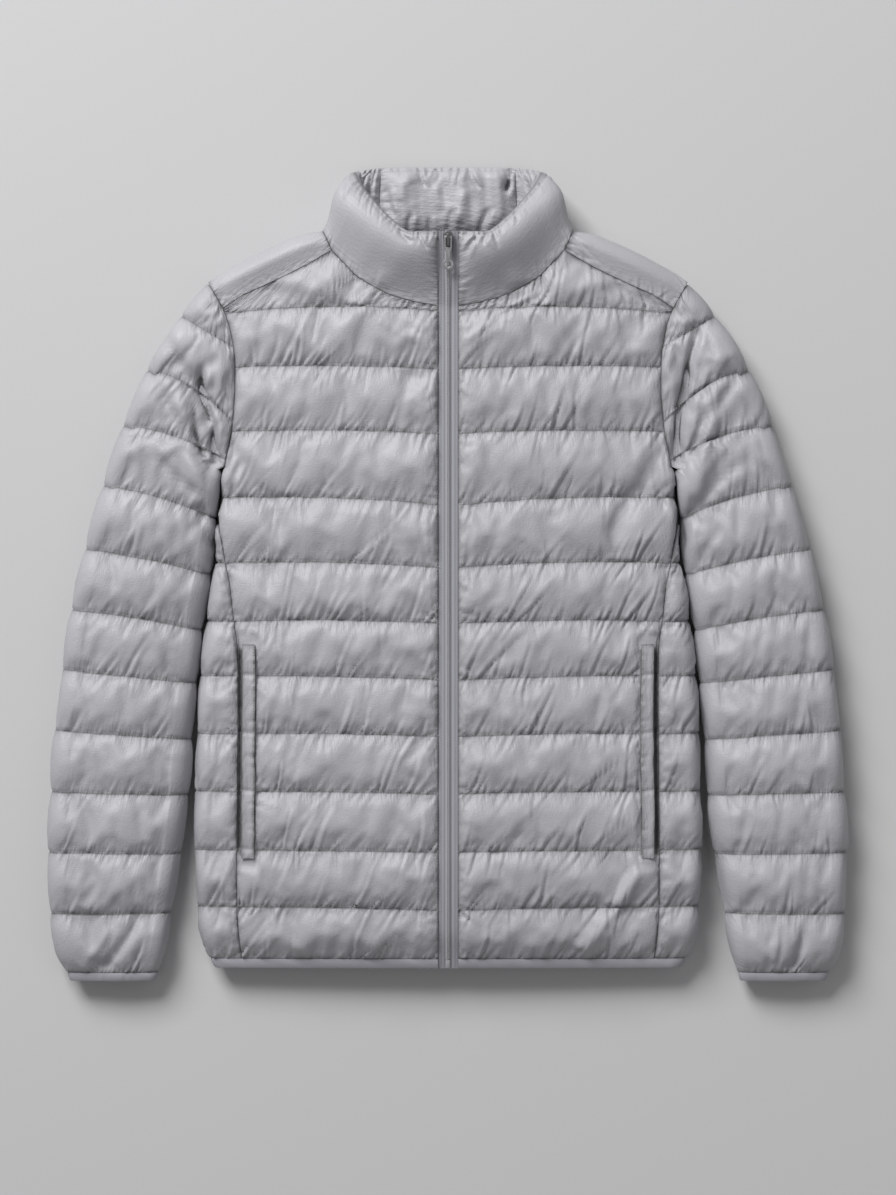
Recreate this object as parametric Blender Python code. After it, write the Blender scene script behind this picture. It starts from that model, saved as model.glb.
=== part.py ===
"""Puffer jacket, zipped up and laid flat on a surface with its front up.

Every panel is a padded wall of its own. A panel's outer points are raised into quilted channels
over a plain inside, and neighbouring panels share their seam and stand a hair apart there.

Sizes are in millimetres and become metres when a mesh is made. +X is the wearer's left, +Y is
towards the collar, +Z is up, and Z = 0 is the surface that the jacket lies on.
"""
import math

import bmesh
import bpy
from mathutils import Vector

MM = 0.001
SEAM_GAP = 0.36             # clear width between two panels at a seam
SURFACE_GAP = 0.5           # what lies on a panel clears it by this much

# Heights of the pinched surface, which is the one that the quilting stitches hold down.
UNDER_PINCH = 2.0           # stitches on the underside lie this high
MID_HEIGHT = 18.0           # height of the widest line of the sides, sleeves and shoulders

# Quilting
CHANNEL_STEPS = (0.0, 0.28, 0.72)   # a stitched row and two rows on the channel's crown
CHANNEL_LOFT = 10.0         # a wide channel's crown above its stitches
FULL_CHANNEL = 52.0         # a channel this wide has its full loft
SIDE_LOFT = 2.0             # crown on the widest line and on the underside
LOFT_FALL = 2.4             # how soon the loft falls off as the surface turns to the side
SEAM_LOFT_SHARE = 0.3       # share of the loft left beside a seam
SEAM_LOFT_REACH = 10.0      # distance from a seam at which most of the loft is back
CHANNEL_POWER = 2.6         # how flat a channel's crown is: 2 would be a parabola
UNDER_PRESS = 1.2           # the underside's crowns are pressed flat, cut off at 1 / this

# Walls
TOP_WALL = 6.0
UNDER_WALL = 13.0
SLEEVE_UNDER_WALL = 12.0
EDGE_WALL = 3.5             # walls thin down to this at the hem and the cuffs
COLLAR_WALL = 9.0
HEM_TAPER = 40.0            # length over which the top's wall thins towards the hem
UNDER_HEM_TAPER = 45.0
CUFF_TAPER = 50.0
NECK_TAPER = (235.0, 300.0)     # the underside's wall thins to the collar's between these y
MITRE_LIMIT = 0.35          # keeps the shift of a sharp corner's point short
BINDING_ROWS = ((0.0, 0.3), (0.5, 0.9), (1.0, 0.2))     # share of a binding's width, how proud

# Zip
ZIP_HALF = 9.0              # from the centre to each front's stitched edge
TAPE_INNER = 2.8
TAPE_WALL = 1.2
TAPE_SINK = 1.0
COIL_HALF = 2.5
COIL_TOP = 0.4
COIL_DEPTH = 2.6
COIL_SHOULDER = 1.0         # the coil's sides are this much lower than its middle
ZIP_END_LENGTH = 8.0
ZIP_LOW_Y = -300.0          # the zip's rows are closer below this
ZIP_ROWS = (4, 18, 4)       # rows below it, up to the neck seam, and up the collar

HEM_FRONT_COLUMNS = 6
HEM_BACK_COLUMNS = 8
HEM_Y = -348.0
HEM_END_Y = -357.0
CUFF_Y = -361.0
CUFF_END_Y = -369.0
UNDERARM_Y = 93.0           # the armhole's lowest point
SIDE_SEAM_TURN_Y = 45.0     # below this the front's seam leaves the side and crosses the top

# y, half width of the body outside its quilting
BODY_EDGE = (
    (-357.0, 212.5), (-348.0, 217.0), (-336.0, 221.5), (-319.0, 226.0), (-297.0, 228.5),
    (-248.0, 231.0), (-177.0, 229.5), (-114.0, 227.0), (-60.0, 221.0), (-24.0, 216.0),
    (7.0, 210.5), (48.0, 208.0), (93.0, 204.2),
)
# y, half width of the armhole seam
ARMHOLE = (
    (93.0, 201.5), (103.5, 199.5), (134.0, 194.0), (169.0, 191.7), (191.5, 192.0),
    (221.5, 196.7), (238.5, 202.7),
)
# y, half width of the seam between the front and the side panel
SIDE_SEAM = (
    (-348.0, 186.5), (-298.0, 190.0), (-256.0, 190.0), (-114.0, 189.0), (-69.0, 189.5),
    (-38.0, 193.5), (-10.0, 196.5), (9.0, 200.5), (30.0, 203.5), (45.0, 206.0),
)
# y, pinched height at the body's sides, rise from there to the centre
BODY_HEIGHT = (
    (-357.0, 23.0, 4.0), (-348.0, 25.0, 5.0), (-320.0, 30.0, 9.0), (-250.0, 34.0, 11.0),
    (0.0, 34.0, 12.0), (238.5, 34.0, 10.0), (310.0, 34.0, 8.0),
)
# y, how far in from the widest line the body's side starts to round
SIDE_ROUND = ((-357.0, 12.0), (-24.0, 14.0), (20.0, 11.0), (45.0, 8.0), (93.0, 4.0))
SIDE_GIRTH = 48.0           # length round the side, from the top's edge to the underside's
SIDE_COLUMNS = 7
BACK_SEAM_TURN = 8.0        # how far under the side panel reaches
BACK_SEAM_TAPER = 70.0      # length below the underarm over which it gets there

# Stitch lines across the front: y at the outer end, at mid width and at the zip
FRONT_LINES = (
    (234.0, 239.5, 235.0), (186.0, 186.5, 183.5), (128.0, 128.5, 125.5), (68.0, 68.0, 61.5),
    (9.5, 10.0, 5.5), (-43.0, -42.0, -44.5), (-92.0, -92.5, -95.5), (-144.0, -144.0, -146.0),
    (-196.0, -196.0, -198.0), (-248.5, -249.0, -250.0), (-300.0, -300.5, -302.5),
    (HEM_Y, HEM_Y, HEM_Y),
)
# Neck seam, from the zip to the yoke's corner: x, y
NECK_SEAM = ((ZIP_HALF, 239.5), (32.5, 244.0), (56.0, 251.5), (79.0, 264.5), (90.0, 274.5),
             (104.5, 290.0))
# Yoke, from the neck to the armhole: x and y of its front seam, x and y of the shoulder's edge
YOKE = (
    (104.5, 290.0, 113.5, 309.5), (130.5, 275.0, 134.0, 302.0), (162.0, 260.0, 166.0, 287.5),
    (184.5, 250.0, 191.0, 275.5), (202.7, 238.5, 217.0, 263.0),
)
YOKE_ROUND = 12.0           # how far in from its edge the shoulder starts to round
YOKE_UNDER = 18.0           # how far under the shoulder the yoke reaches
YOKE_LOFT = 3.5
YOKE_END_LOFT = 0.35        # share of the loft left at the neck and at the armhole
# Back neck seam, from the yoke's lower corner to the centre: x, y
BACK_NECK = ((88.0, 296.0), (64.0, 298.5), (40.0, 300.5), (20.0, 302.0), (0.0, 303.0))
COLLAR_SEAM_ROW = 1         # the row of BACK_NECK where the collar's back part starts

# Columns of the front: share of the width at the pocket, where two of them are the welt's edges
POCKET_COLUMNS = (0.0, 0.13, 0.27, 0.41, 0.55, 0.68, 0.80, 0.91, 0.985, 1.0)
COLUMN_BLEND = (60.0, 236.0)   # the columns fan out to the neck's and yoke's points between these

# Sleeve stitch lines from the cuff up: y at the outer edge, y at the inner end, rise at mid row
SLEEVE_LINES = (
    (CUFF_Y, CUFF_Y, 0.0), (-307.0, -306.5, 0.0), (-251.5, -253.0, 0.0), (-197.0, -200.0, 0.0),
    (-141.0, -150.0, 0.0), (-86.5, -99.0, 0.0), (-32.5, -51.5, 2.0), (22.5, -1.0, 2.0),
    (80.0, 49.5, 4.0), (134.0, 102.0, 6.0), (184.5, 136.0, 9.0), (233.0, 203.5, 0.0),
    (263.0, 238.5, 0.0),
)
# y, distance of the sleeve's outer edge from the centre
SLEEVE_OUTER = (
    (-369.0, 343.5), (-361.0, 346.5), (-347.5, 353.5), (-331.0, 357.5), (-307.0, 361.0),
    (-274.5, 362.0), (-249.5, 362.5), (-198.0, 360.0), (-142.0, 357.0), (-86.5, 350.0),
    (-33.5, 341.5), (23.5, 329.0), (81.0, 312.5), (135.0, 294.5), (185.5, 272.5),
    (233.0, 242.5), (263.0, 217.0),
)
# y, distance of the sleeve's inner edge from the centre
SLEEVE_INNER = (
    (-369.0, 263.5), (-361.0, 261.0), (-330.0, 253.0), (-297.0, 247.5), (-260.0, 241.0),
    (-195.0, 233.5), (-146.0, 230.5), (-92.5, 226.0), (-47.0, 221.5), (0.0, 213.5),
    (49.5, 209.5), (102.0, 205.5),
)
# y at the outer edge, pinched height of the sleeve's top
SLEEVE_HEIGHT = ((-369.0, 22.0), (-361.0, 24.0), (-320.0, 30.0), (-250.0, 34.0), (263.0, 34.0))
# y at the inner edge, how far in the sleeve's inner side starts to round
SLEEVE_INNER_ROUND = ((-369.0, 9.0), (-250.0, 13.0), (0.0, 11.0), (50.0, 6.0), (102.0, 2.5))
SLEEVE_ROUND = 14.0
SLEEVE_ROUND_SHARE = 0.42   # the rounding takes no more than this share of the width
SLEEVE_INNER_TURNS = (0.75, 0.4)    # where the points of the inner side lie, from top to under
SLEEVE_CROWN = 2.5          # the sleeve's pinched top is this much higher at mid width
SLEEVE_TOP_COLUMNS = 5
SLEEVE_UNDER_COLUMNS = 4

# Collar's top edge, from the zip round the side to the centre back: x, y, z, turn of the wall in
# degrees from facing up (0) through facing out (90) to facing down (180)
COLLAR_TOP_FRONT = (
    (ZIP_HALF, 305.0, 62.0, 0.0), (24.0, 305.0, 62.0, 0.0), (37.0, 306.0, 61.0, 0.0),
    (53.0, 319.0, 57.0, 4.0), (66.0, 333.0, 51.0, 8.0), (76.0, 345.0, 44.0, 16.0),
)
COLLAR_TOP_SIDE = (
    (81.0, 352.0, 40.0, 24.0), (84.5, 357.5, 35.0, 35.0), (87.5, 362.0, 27.0, 62.0),
    (88.5, 363.5, 17.0, 90.0), (86.0, 365.0, 7.0, 135.0), (81.0, 366.0, 2.0, 180.0),
    (76.0, 366.5, 2.0, 180.0),
)
COLLAR_TOP_BACK = (
    (69.0, 367.5, 2.0, 180.0), (61.0, 368.5, 2.0, 180.0), (40.0, 369.0, 2.0, 180.0),
    (20.0, 369.0, 2.0, 180.0), (0.0, 369.0, 2.0, 180.0),
)
COLLAR_ROWS = (0.0, 0.22, 0.5, 0.8, 1.0)
COLLAR_LOFT = 3.0
COLLAR_EDGE_SINK = 1.5      # the top edge's outer rim is rounded off by this
COLLAR_EDGE_THIN = 2.4      # the wall is this much thinner at its seam and at its top edge
COLLAR_EDGE_POWER = 4       # how soon it is thick again away from them

# Pocket welt on each front
WELT_COLUMNS = (7, 8)
WELT_TOP_Y = -64.0
WELT_BOTTOM_Y = -256.5
WELT_WALL = 2.2
WELT_SEAT = 3.5             # the front is this high under the welt, right along it
WELT_SEAT_MARGIN = 9.0      # and this far past its ends
WELT_ROW_CLEAR = 2.0        # a row of the front this near the welt's end is left out

FOLD_FACING = 0.5           # folds lie only where the surface faces up by this much
# The largest folds, in the whole jacket's own places: x and y of each end, half width, rise
FOLDS = (
    (-219.0, 162.0, -207.0, 100.0, 8.0, -4.5),
    (225.0, 213.0, 205.0, 105.0, 8.0, -4.5),
    (-240.0, 150.0, -222.0, 70.0, 9.0, 3.0),
    (246.0, 190.0, 222.0, 75.0, 9.0, 3.0),
    (-310.0, -352.0, -279.0, -313.0, 7.0, -3.0),
    (311.0, -352.0, 320.0, -325.0, 7.0, -3.0),
    (175.0, -265.0, 125.0, -338.0, 10.0, 3.0),
    (-150.0, 45.0, -192.0, 110.0, 10.0, -3.5),
    (150.0, 40.0, 193.0, 112.0, 10.0, -3.5),
    (-60.0, 262.0, -96.0, 215.0, 10.0, 2.5),
    (60.0, 262.0, 98.0, 218.0, 10.0, 2.5),
)

# Slider and pull tab, in their own frame: +Y up the zip, +Z off it
SLIDER_SIZE = (8.4, 13.5, 3.2)
SLIDER_Y = 297.5
# Corners of the slider, as shares of its width and length
SLIDER_OUTLINE = (
    (-0.34, -0.5), (0.34, -0.5), (0.5, 0.1), (0.5, 0.38), (0.3, 0.5), (-0.3, 0.5),
    (-0.5, 0.38), (-0.5, 0.1),
)
BAIL_WIDTH = 2.4
BAIL_HALF_LENGTH = 5.2
BAIL_BAR = 1.1
BAIL_CLEAR = 2.9
BAIL_ROOT = 1.0             # how far into the slider the bail's feet start
CUT_MARGIN = 2.0            # a cutter is this much wider than what it cuts
CUT_OVERRUN = 0.0005        # and this much off the face that it would share
PIVOT_Y = 2.5               # the pull tab's crossbar, from the slider's middle
PULL_WALL = 1.4
PULL_BAR = 1.6
PULL_HALF_WIDTH = 3.3
PULL_SLOT_HALF = 1.9
PULL_SLOT_LENGTH = 8.2
PULL_STEM_HALF = 1.7
PULL_ARM_END = 1.2          # from the slot's end to where the arms narrow
PULL_STEM_START = 4.0       # and to where the stem starts
PULL_LENGTH = 24.5          # from the crossbar to the ring's centre
RING_OUTER = 4.9
RING_INNER = 2.7
RING_SIDES = 20

SHARP_ANGLE = 50.0          # edges over this many degrees are shaded sharp
# name: colour, roughness, metallic value
FINISHES = {
    "shell": ((0.40, 0.40, 0.43, 1.0), 0.42, 0.0),
    "binding": ((0.33, 0.33, 0.36, 1.0), 0.6, 0.0),
    "tape": ((0.30, 0.30, 0.33, 1.0), 0.75, 0.0),
    "coil": ((0.36, 0.36, 0.38, 1.0), 0.4, 0.0),
    "metal": ((0.55, 0.55, 0.57, 1.0), 0.3, 1.0),
}


def clear_scene():
    """Remove every object of the open file."""
    for old in list(bpy.data.objects):
        bpy.data.objects.remove(old, do_unlink=True)


def make_material(name):
    """The Principled material of one sub-part."""
    colour, roughness, metallic = FINISHES[name]
    material = bpy.data.materials.new(name)
    material.use_nodes = True
    shader = material.node_tree.nodes["Principled BSDF"]
    shader.inputs["Base Color"].default_value = colour
    shader.inputs["Roughness"].default_value = roughness
    shader.inputs["Metallic"].default_value = metallic
    return material


def lerp(start, end, share):
    """The value that lies a share of the way from start to end."""
    return start + (end - start) * share


def curve(rows, at, column=1):
    """Read a table as a smooth curve: the column's value where the first column is at."""
    spots = [row[0] for row in rows]
    values = [row[column] for row in rows]
    at = min(max(at, spots[0]), spots[-1])
    piece = 0
    while piece < len(rows) - 2 and at > spots[piece + 1]:
        piece += 1
    slopes = [(values[i + 1] - values[i]) / (spots[i + 1] - spots[i]) for i in range(len(rows) - 1)]

    def tangent(knot):
        if knot == 0 or knot == len(rows) - 1:
            return slopes[min(knot, len(slopes) - 1)]
        before = slopes[knot - 1]
        after = slopes[knot]
        if before * after <= 0.0:
            return 0.0
        return 2.0 * before * after / (before + after)

    width = spots[piece + 1] - spots[piece]
    t = (at - spots[piece]) / width
    return (values[piece] * (1 + 2 * t) * (1 - t) ** 2 + tangent(piece) * width * t * (1 - t) ** 2
            + values[piece + 1] * t * t * (3 - 2 * t) - tangent(piece + 1) * width * t * t * (1 - t))


class Wall:
    """A padded wall: points of its pinched surface, each with a normal, a loft and a depth."""

    def __init__(self):
        self.points = []
        self.normals = []
        self.lofts = []
        self.depths = []
        self.faces = []

    def add(self, point, normal, loft, depth):
        """Add one point and return its number."""
        self.points.append(Vector(point))
        self.normals.append(Vector(normal))
        self.lofts.append(loft)
        self.depths.append(depth)
        return len(self.points) - 1

    def skin(self, row, next_row):
        """Span two rows of points with faces; None in either row leaves a hole."""
        for column in range(len(row) - 1):
            corners = (row[column], row[column + 1], next_row[column + 1], next_row[column])
            if None not in corners:
                self.faces.append(corners)

    def grid(self, rows):
        """Span each row and the next."""
        for row, next_row in zip(rows, rows[1:]):
            self.skin(row, next_row)

    def rim_edges(self):
        """The edges that only one face has, each with that face."""
        owners = {}
        for face in self.faces:
            for here, there in zip(face, face[1:] + face[:1]):
                owners.setdefault(frozenset((here, there)), []).append((here, there, face))
        return [found[0] for found in owners.values() if len(found) == 1]

    def seam_shifts(self, gap):
        """How far each rim point moves in, so that neighbours stand a gap apart."""
        inward = {}
        for here, there, face in self.rim_edges():
            middle = sum((self.points[n] for n in face), Vector()) / len(face)
            along = (self.points[there] - self.points[here]).normalized()
            across = middle - self.points[here]
            across -= along * across.dot(along)
            for number in (here, there):
                inward.setdefault(number, []).append(across.normalized())
        shifts = {}
        for number, ways in inward.items():
            total = sum(ways, Vector())
            spread = max(MITRE_LIMIT, 1.0 + ways[0].dot(ways[-1]))
            shifts[number] = total * (gap / 2) / spread
        return shifts


def fold_rise(x, y, normal):
    """Rise or fall of the large folds at one point of a top surface."""
    if normal.z < FOLD_FACING:
        return 0.0
    total = 0.0
    for x0, y0, x1, y1, half_width, rise in FOLDS:
        run = Vector((x1 - x0, y1 - y0))
        offset = Vector((x - x0, y - y0))
        share = offset.dot(run) / run.length_squared
        off_line = (offset - run * min(max(share, 0.0), 1.0)).length
        total += rise * math.exp(-(off_line / half_width) ** 2)
    return total


def link_mesh(name, mesh, material):
    """Make an object of a mesh, shaded smooth but for its sharp edges."""
    mesh.materials.append(material)
    thing = bpy.data.objects.new(name, mesh)
    bpy.context.scene.collection.objects.link(thing)
    mesh.shade_smooth()
    mesh.set_sharp_from_angle(angle=math.radians(SHARP_ANGLE))
    return thing


def build_wall(name, wall, material, side=1, folded=False):
    """Close a wall with its inner side and its rims, and make its object."""
    shifts = wall.seam_shifts(SEAM_GAP)
    shape = bmesh.new()
    outer = []
    inner = []
    for number, point in enumerate(wall.points):
        normal = wall.normals[number]
        place = point + shifts.get(number, Vector())
        loft = wall.lofts[number]
        if folded and number not in shifts:
            loft += fold_rise(side * place.x, place.y, normal)
        up = place + normal * loft
        down = place - normal * wall.depths[number]
        outer.append(shape.verts.new((side * up.x * MM, up.y * MM, up.z * MM)))
        inner.append(shape.verts.new((side * down.x * MM, down.y * MM, down.z * MM)))
    for face in wall.faces:
        shape.faces.new([outer[n] for n in face])
        shape.faces.new([inner[n] for n in reversed(face)])
    for here, there, _ in wall.rim_edges():
        shape.faces.new((outer[there], outer[here], inner[here], inner[there]))
    bmesh.ops.recalc_face_normals(shape, faces=shape.faces)
    mesh = bpy.data.meshes.new(name)
    shape.to_mesh(mesh)
    shape.free()
    return link_mesh(name, mesh, material)


# The body's pinched surface

def body_half_width(y):
    """Half the body's width on its widest line, under the side's loft."""
    return curve(BODY_EDGE, y) - SIDE_LOFT


def armhole(y):
    """Distance of the armhole's seam from the centre; past the yoke's seam it is straight."""
    corner_y, corner_x = ARMHOLE[-1]
    if y <= corner_y:
        return curve(ARMHOLE, y)
    edge_x, edge_y = YOKE[-1][2:]
    return corner_x + (edge_x - corner_x) * (y - corner_y) / (edge_y - corner_y)


def top_half_width(y):
    """Half the width of the body's top, between the roundings or the armholes."""
    if y > UNDERARM_Y:
        return armhole(min(y, YOKE[-1][3]))
    return body_half_width(y) - curve(SIDE_ROUND, y)


def body_top(x, y):
    """Pinched height of the body's top."""
    share = min(1.0, x / top_half_width(y))
    return curve(BODY_HEIGHT, y) + curve(BODY_HEIGHT, y, 2) * (1.0 - share * share)


def top_wall(y):
    """Depth of the top's wall, thinner towards the hem."""
    return lerp(EDGE_WALL, TOP_WALL, min(1.0, (y - HEM_Y) / HEM_TAPER))


def under_wall(y):
    """Depth of the underside's wall, thinner towards the hem and the neck."""
    hem_share = min(1.0, max(0.0, (y - HEM_Y) / UNDER_HEM_TAPER))
    start, end = NECK_TAPER
    neck_share = min(1.0, max(0.0, (y - start) / (end - start)))
    return lerp(lerp(EDGE_WALL, UNDER_WALL, hem_share), COLLAR_WALL, neck_share)


def round_point(centre, reach, top, turn):
    """Point and normal on a rounded side: turn runs from 0, up, to 1, down."""
    angle = turn * math.pi
    way = Vector((reach.x, reach.y, 0.0))
    rise = top - MID_HEIGHT if turn < 0.5 else MID_HEIGHT - UNDER_PINCH
    place = Vector((centre.x, centre.y, MID_HEIGHT)) + way * math.sin(angle)
    place.z += rise * math.cos(angle)
    normal = way.normalized() * math.sin(angle)
    normal.z = math.cos(angle)
    return place, normal


def body_point(girth, y):
    """Point and normal of the body at a length round from the centre front."""
    edge = top_half_width(y)
    if girth <= edge:
        return Vector((girth, y, body_top(girth, y))), Vector((0.0, 0.0, 1.0))
    reach = Vector((curve(SIDE_ROUND, y), 0.0))
    turn = (girth - edge) / SIDE_GIRTH
    if turn <= 1.0:
        return round_point(Vector((edge, y)), reach, curve(BODY_HEIGHT, y), turn)
    x = edge - (girth - edge - SIDE_GIRTH)
    return Vector((x, y, UNDER_PINCH)), Vector((0.0, 0.0, -1.0))


def body_depth(normal, y):
    """Wall depth of the body by where its surface faces."""
    share = min(1.0, max(0.0, -normal.z))
    return lerp(top_wall(y), under_wall(y), share * share)


def girth_at(x, y):
    """Length round the body of a place on its top or on the upper half of its side."""
    edge = top_half_width(y)
    if x <= edge:
        return x
    share = min(1.0, (x - edge) / curve(SIDE_ROUND, y))
    return edge + SIDE_GIRTH * math.asin(share) / math.pi


def channel_shape(step):
    """Share of the loft across a channel, from one stitch line to the next."""
    return 1.0 - abs(2.0 * step - 1.0) ** CHANNEL_POWER


def facing_loft(normal, width):
    """Loft of a channel's crown by where it faces."""
    full = CHANNEL_LOFT * min(1.0, width / FULL_CHANNEL)
    share = min(1.0, max(0.0, normal.z)) ** LOFT_FALL
    return lerp(SIDE_LOFT, full, share)


def seam_share(distance):
    """Share of the loft at a distance from a seam."""
    return 1.0 - (1.0 - SEAM_LOFT_SHARE) * math.exp(-distance / SEAM_LOFT_REACH)


def channel_rows(lines):
    """Every row of a quilted panel: its channel's number and its step across the channel."""
    rows = [(channel, step) for channel in range(len(lines) - 1) for step in CHANNEL_STEPS]
    return rows + [(len(lines) - 2, 1.0)]


def front_line(line, share):
    """y of a front stitch line at a share of the width from the zip."""
    outer, middle, at_zip = FRONT_LINES[line]
    bend = 2.0 * (at_zip + outer) - 4.0 * middle
    return at_zip + (outer - at_zip) * share + bend * share * (share - 1.0)


def front_outer(y):
    """Distance of the front's outer edge from the centre."""
    if y > UNDERARM_Y:
        return armhole(y)
    if y > SIDE_SEAM_TURN_Y:
        return body_half_width(y)
    return min(curve(SIDE_SEAM, y), body_half_width(y))


def top_boundary():
    """Points of the front's top edge: the neck seam, then the yoke's front seam."""
    return list(NECK_SEAM) + [(row[0], row[1]) for row in YOKE[1:]]


def front_columns(y):
    """Share of the front's width at each column."""
    edge = top_boundary()
    width = edge[-1][0] - ZIP_HALF
    fan = min(1.0, max(0.0, (y - COLUMN_BLEND[0]) / (COLUMN_BLEND[1] - COLUMN_BLEND[0])))
    return [lerp(pocket, (x - ZIP_HALF) / width, fan) for pocket, (x, _) in zip(POCKET_COLUMNS, edge)]


def front_place(row, column):
    """x and y of one point of the front, and how wide its channel is there."""
    channel, step = row
    edge = top_boundary()[column]
    if channel == 0:
        lower_share = front_columns(FRONT_LINES[0][0])[column]
        lower_x = lerp(ZIP_HALF, front_outer(FRONT_LINES[0][0]), lower_share)
        lower_y = front_line(0, lower_share)
        return lerp(edge[0], lower_x, step), lerp(edge[1], lower_y, step), edge[1] - lower_y
    line = channel - 1
    outer_y = lerp(FRONT_LINES[line][0], FRONT_LINES[line + 1][0], step)
    share = front_columns(outer_y)[column]
    upper_y = front_line(line, share)
    lower_y = front_line(line + 1, share)
    x = lerp(ZIP_HALF, front_outer(outer_y), share)
    return x, lerp(upper_y, lower_y, step), upper_y - lower_y


def front_rows():
    """Rows of the front: the wedge under the neck and yoke, then one channel for each line."""
    return channel_rows((None,) + FRONT_LINES)


def under_welt(y):
    """Whether the front is flat here to carry the pocket's welt."""
    return WELT_BOTTOM_Y - WELT_SEAT_MARGIN < y < WELT_TOP_Y + WELT_SEAT_MARGIN


def front_wall():
    """The quilted front, with its rows of point numbers."""
    wall = Wall()
    rows = []
    for row in front_rows():
        numbers = []
        for column in range(len(POCKET_COLUMNS)):
            x, y, width = front_place(row, column)
            point, normal = body_point(girth_at(x, y), y)
            outer = front_outer(y)
            loft = facing_loft(normal, width) * channel_shape(row[1])
            loft *= seam_share(x - ZIP_HALF) * seam_share(max(0.0, outer - x))
            if column in WELT_COLUMNS and under_welt(y):
                loft = WELT_SEAT
            numbers.append(wall.add(point, normal, loft, body_depth(normal, y)))
        rows.append(numbers)
    wall.grid(rows)
    return wall, rows


def side_rows():
    """y, channel step and channel width of the side panel's rows, from the underarm down."""
    rows = []
    for channel, step in front_rows():
        if channel == 0:
            continue
        upper = FRONT_LINES[channel - 1][0]
        lower = FRONT_LINES[channel][0]
        y = lerp(upper, lower, step)
        if y < UNDERARM_Y:
            rows.append((y, step, upper - lower))
    return rows


def back_seam_girth(y):
    """Length round the body of the seam between the side panel and the back."""
    turned = min(1.0, max(0.0, (UNDERARM_Y - y) / BACK_SEAM_TAPER))
    return top_half_width(y) + SIDE_GIRTH + BACK_SEAM_TURN * turned


def side_wall():
    """The quilted side panel, from the front's seam round to the back's."""
    wall = Wall()
    rows = []
    for y, step, width in side_rows():
        start = girth_at(front_outer(y), y)
        end = back_seam_girth(y)
        numbers = []
        for column in range(SIDE_COLUMNS + 1):
            girth = lerp(start, end, column / SIDE_COLUMNS)
            point, normal = body_point(girth, y)
            loft = facing_loft(normal, width) * channel_shape(step)
            loft *= seam_share(girth - start)
            numbers.append(wall.add(point, normal, loft, body_depth(normal, y)))
        rows.append(numbers)
    wall.grid(rows)
    return wall


def yoke_line(row):
    """Front seam point, direction out to the shoulder's edge and distance to it."""
    seam = Vector(row[:2])
    edge = Vector(row[2:])
    return seam, (edge - seam).normalized(), (edge - seam).length


def yoke_section(row):
    """Points and normals over the shoulder, from the front seam to the seam underneath."""
    seam, out, reach = yoke_line(row)
    top = body_top(seam.x, seam.y)
    centre = seam + out * (reach - YOKE_ROUND)
    section = []
    for share in (0.0, 0.5):
        spot = seam.lerp(centre, share)
        section.append((Vector((spot.x, spot.y, top)), Vector((0.0, 0.0, 1.0))))
    for turn in (0.0, 0.25, 0.5, 0.75, 1.0):
        section.append(round_point(centre, out * YOKE_ROUND, top, turn))
    under = seam + out * (reach - YOKE_UNDER)
    section.append((Vector((under.x, under.y, UNDER_PINCH)), Vector((0.0, 0.0, -1.0))))
    return section


def yoke_wall():
    """The plain yoke over the shoulder."""
    wall = Wall()
    rows = []
    last = len(YOKE) - 1
    for place, row in enumerate(YOKE):
        section = yoke_section(row)
        numbers = []
        for step, (point, normal) in enumerate(section):
            across = math.sin(math.pi * step / (len(section) - 1))
            along = lerp(YOKE_END_LOFT, 1.0, math.sin(math.pi * place / last))
            height = YOKE_LOFT if normal.z > 0.0 else SIDE_LOFT
            numbers.append(wall.add(point, normal, height * across * along, yoke_depth(point, normal)))
        rows.append(numbers)
    wall.grid(rows)
    return wall


def yoke_depth(point, normal):
    """Wall depth over the shoulder: the body's on top and underneath."""
    share = min(1.0, max(0.0, -normal.z))
    return lerp(TOP_WALL, under_wall(point.y), share)


def back_top_boundary():
    """The back's top edge from the centre out: the neck seam, then the yokes' lower seam."""
    edge = [(x, y) for x, y in reversed(BACK_NECK)]
    for row in YOKE:
        seam, out, reach = yoke_line(row)
        under = seam + out * (reach - YOKE_UNDER)
        edge.append((under.x, under.y))
    return edge


def back_row(row):
    """x, y and channel width at each column of one of the back's rows, from the centre out."""
    channel, step = row
    boundary = back_top_boundary()
    width = boundary[-1][0]
    count = len(boundary)
    if channel == 0:
        lower_y = FRONT_LINES[0][0]
        outer = armhole(lerp(boundary[-1][1], lower_y, step))
        return [(outer * x / width, lerp(y, lower_y, step), y - lower_y) for x, y in boundary]
    upper = FRONT_LINES[channel - 1][0]
    lower = FRONT_LINES[channel][0]
    y = lerp(upper, lower, step)
    outer = armhole(y) if y > UNDERARM_Y else body_point(back_seam_girth(y), y)[0].x
    fan = min(1.0, max(0.0, (y - COLUMN_BLEND[0]) / (COLUMN_BLEND[1] - COLUMN_BLEND[0])))
    places = []
    for column, (x, _) in enumerate(boundary):
        share = lerp(column / (count - 1), x / width, fan)
        places.append((outer * share, y, upper - lower))
    return places


def back_wall():
    """The quilted back: its underside lies on the surface."""
    wall = Wall()
    down = Vector((0.0, 0.0, -1.0))
    rows = []
    for row in front_rows():
        half = back_row(row)
        whole = [(-x, y, width) for x, y, width in reversed(half[1:])] + half
        numbers = []
        for x, y, width in whole:
            loft = UNDER_PINCH * min(1.0, channel_shape(row[1]) * UNDER_PRESS)
            numbers.append(wall.add((x, y, UNDER_PINCH), down, loft, under_wall(y)))
        rows.append(numbers)
    wall.grid(rows)
    return wall


# Sleeves

def sleeve_inner(y):
    """Distance of the sleeve's inner end from the centre: its edge, or the armhole's seam."""
    if y > UNDERARM_Y:
        return armhole(y)
    return curve(SLEEVE_INNER, y)


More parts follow.
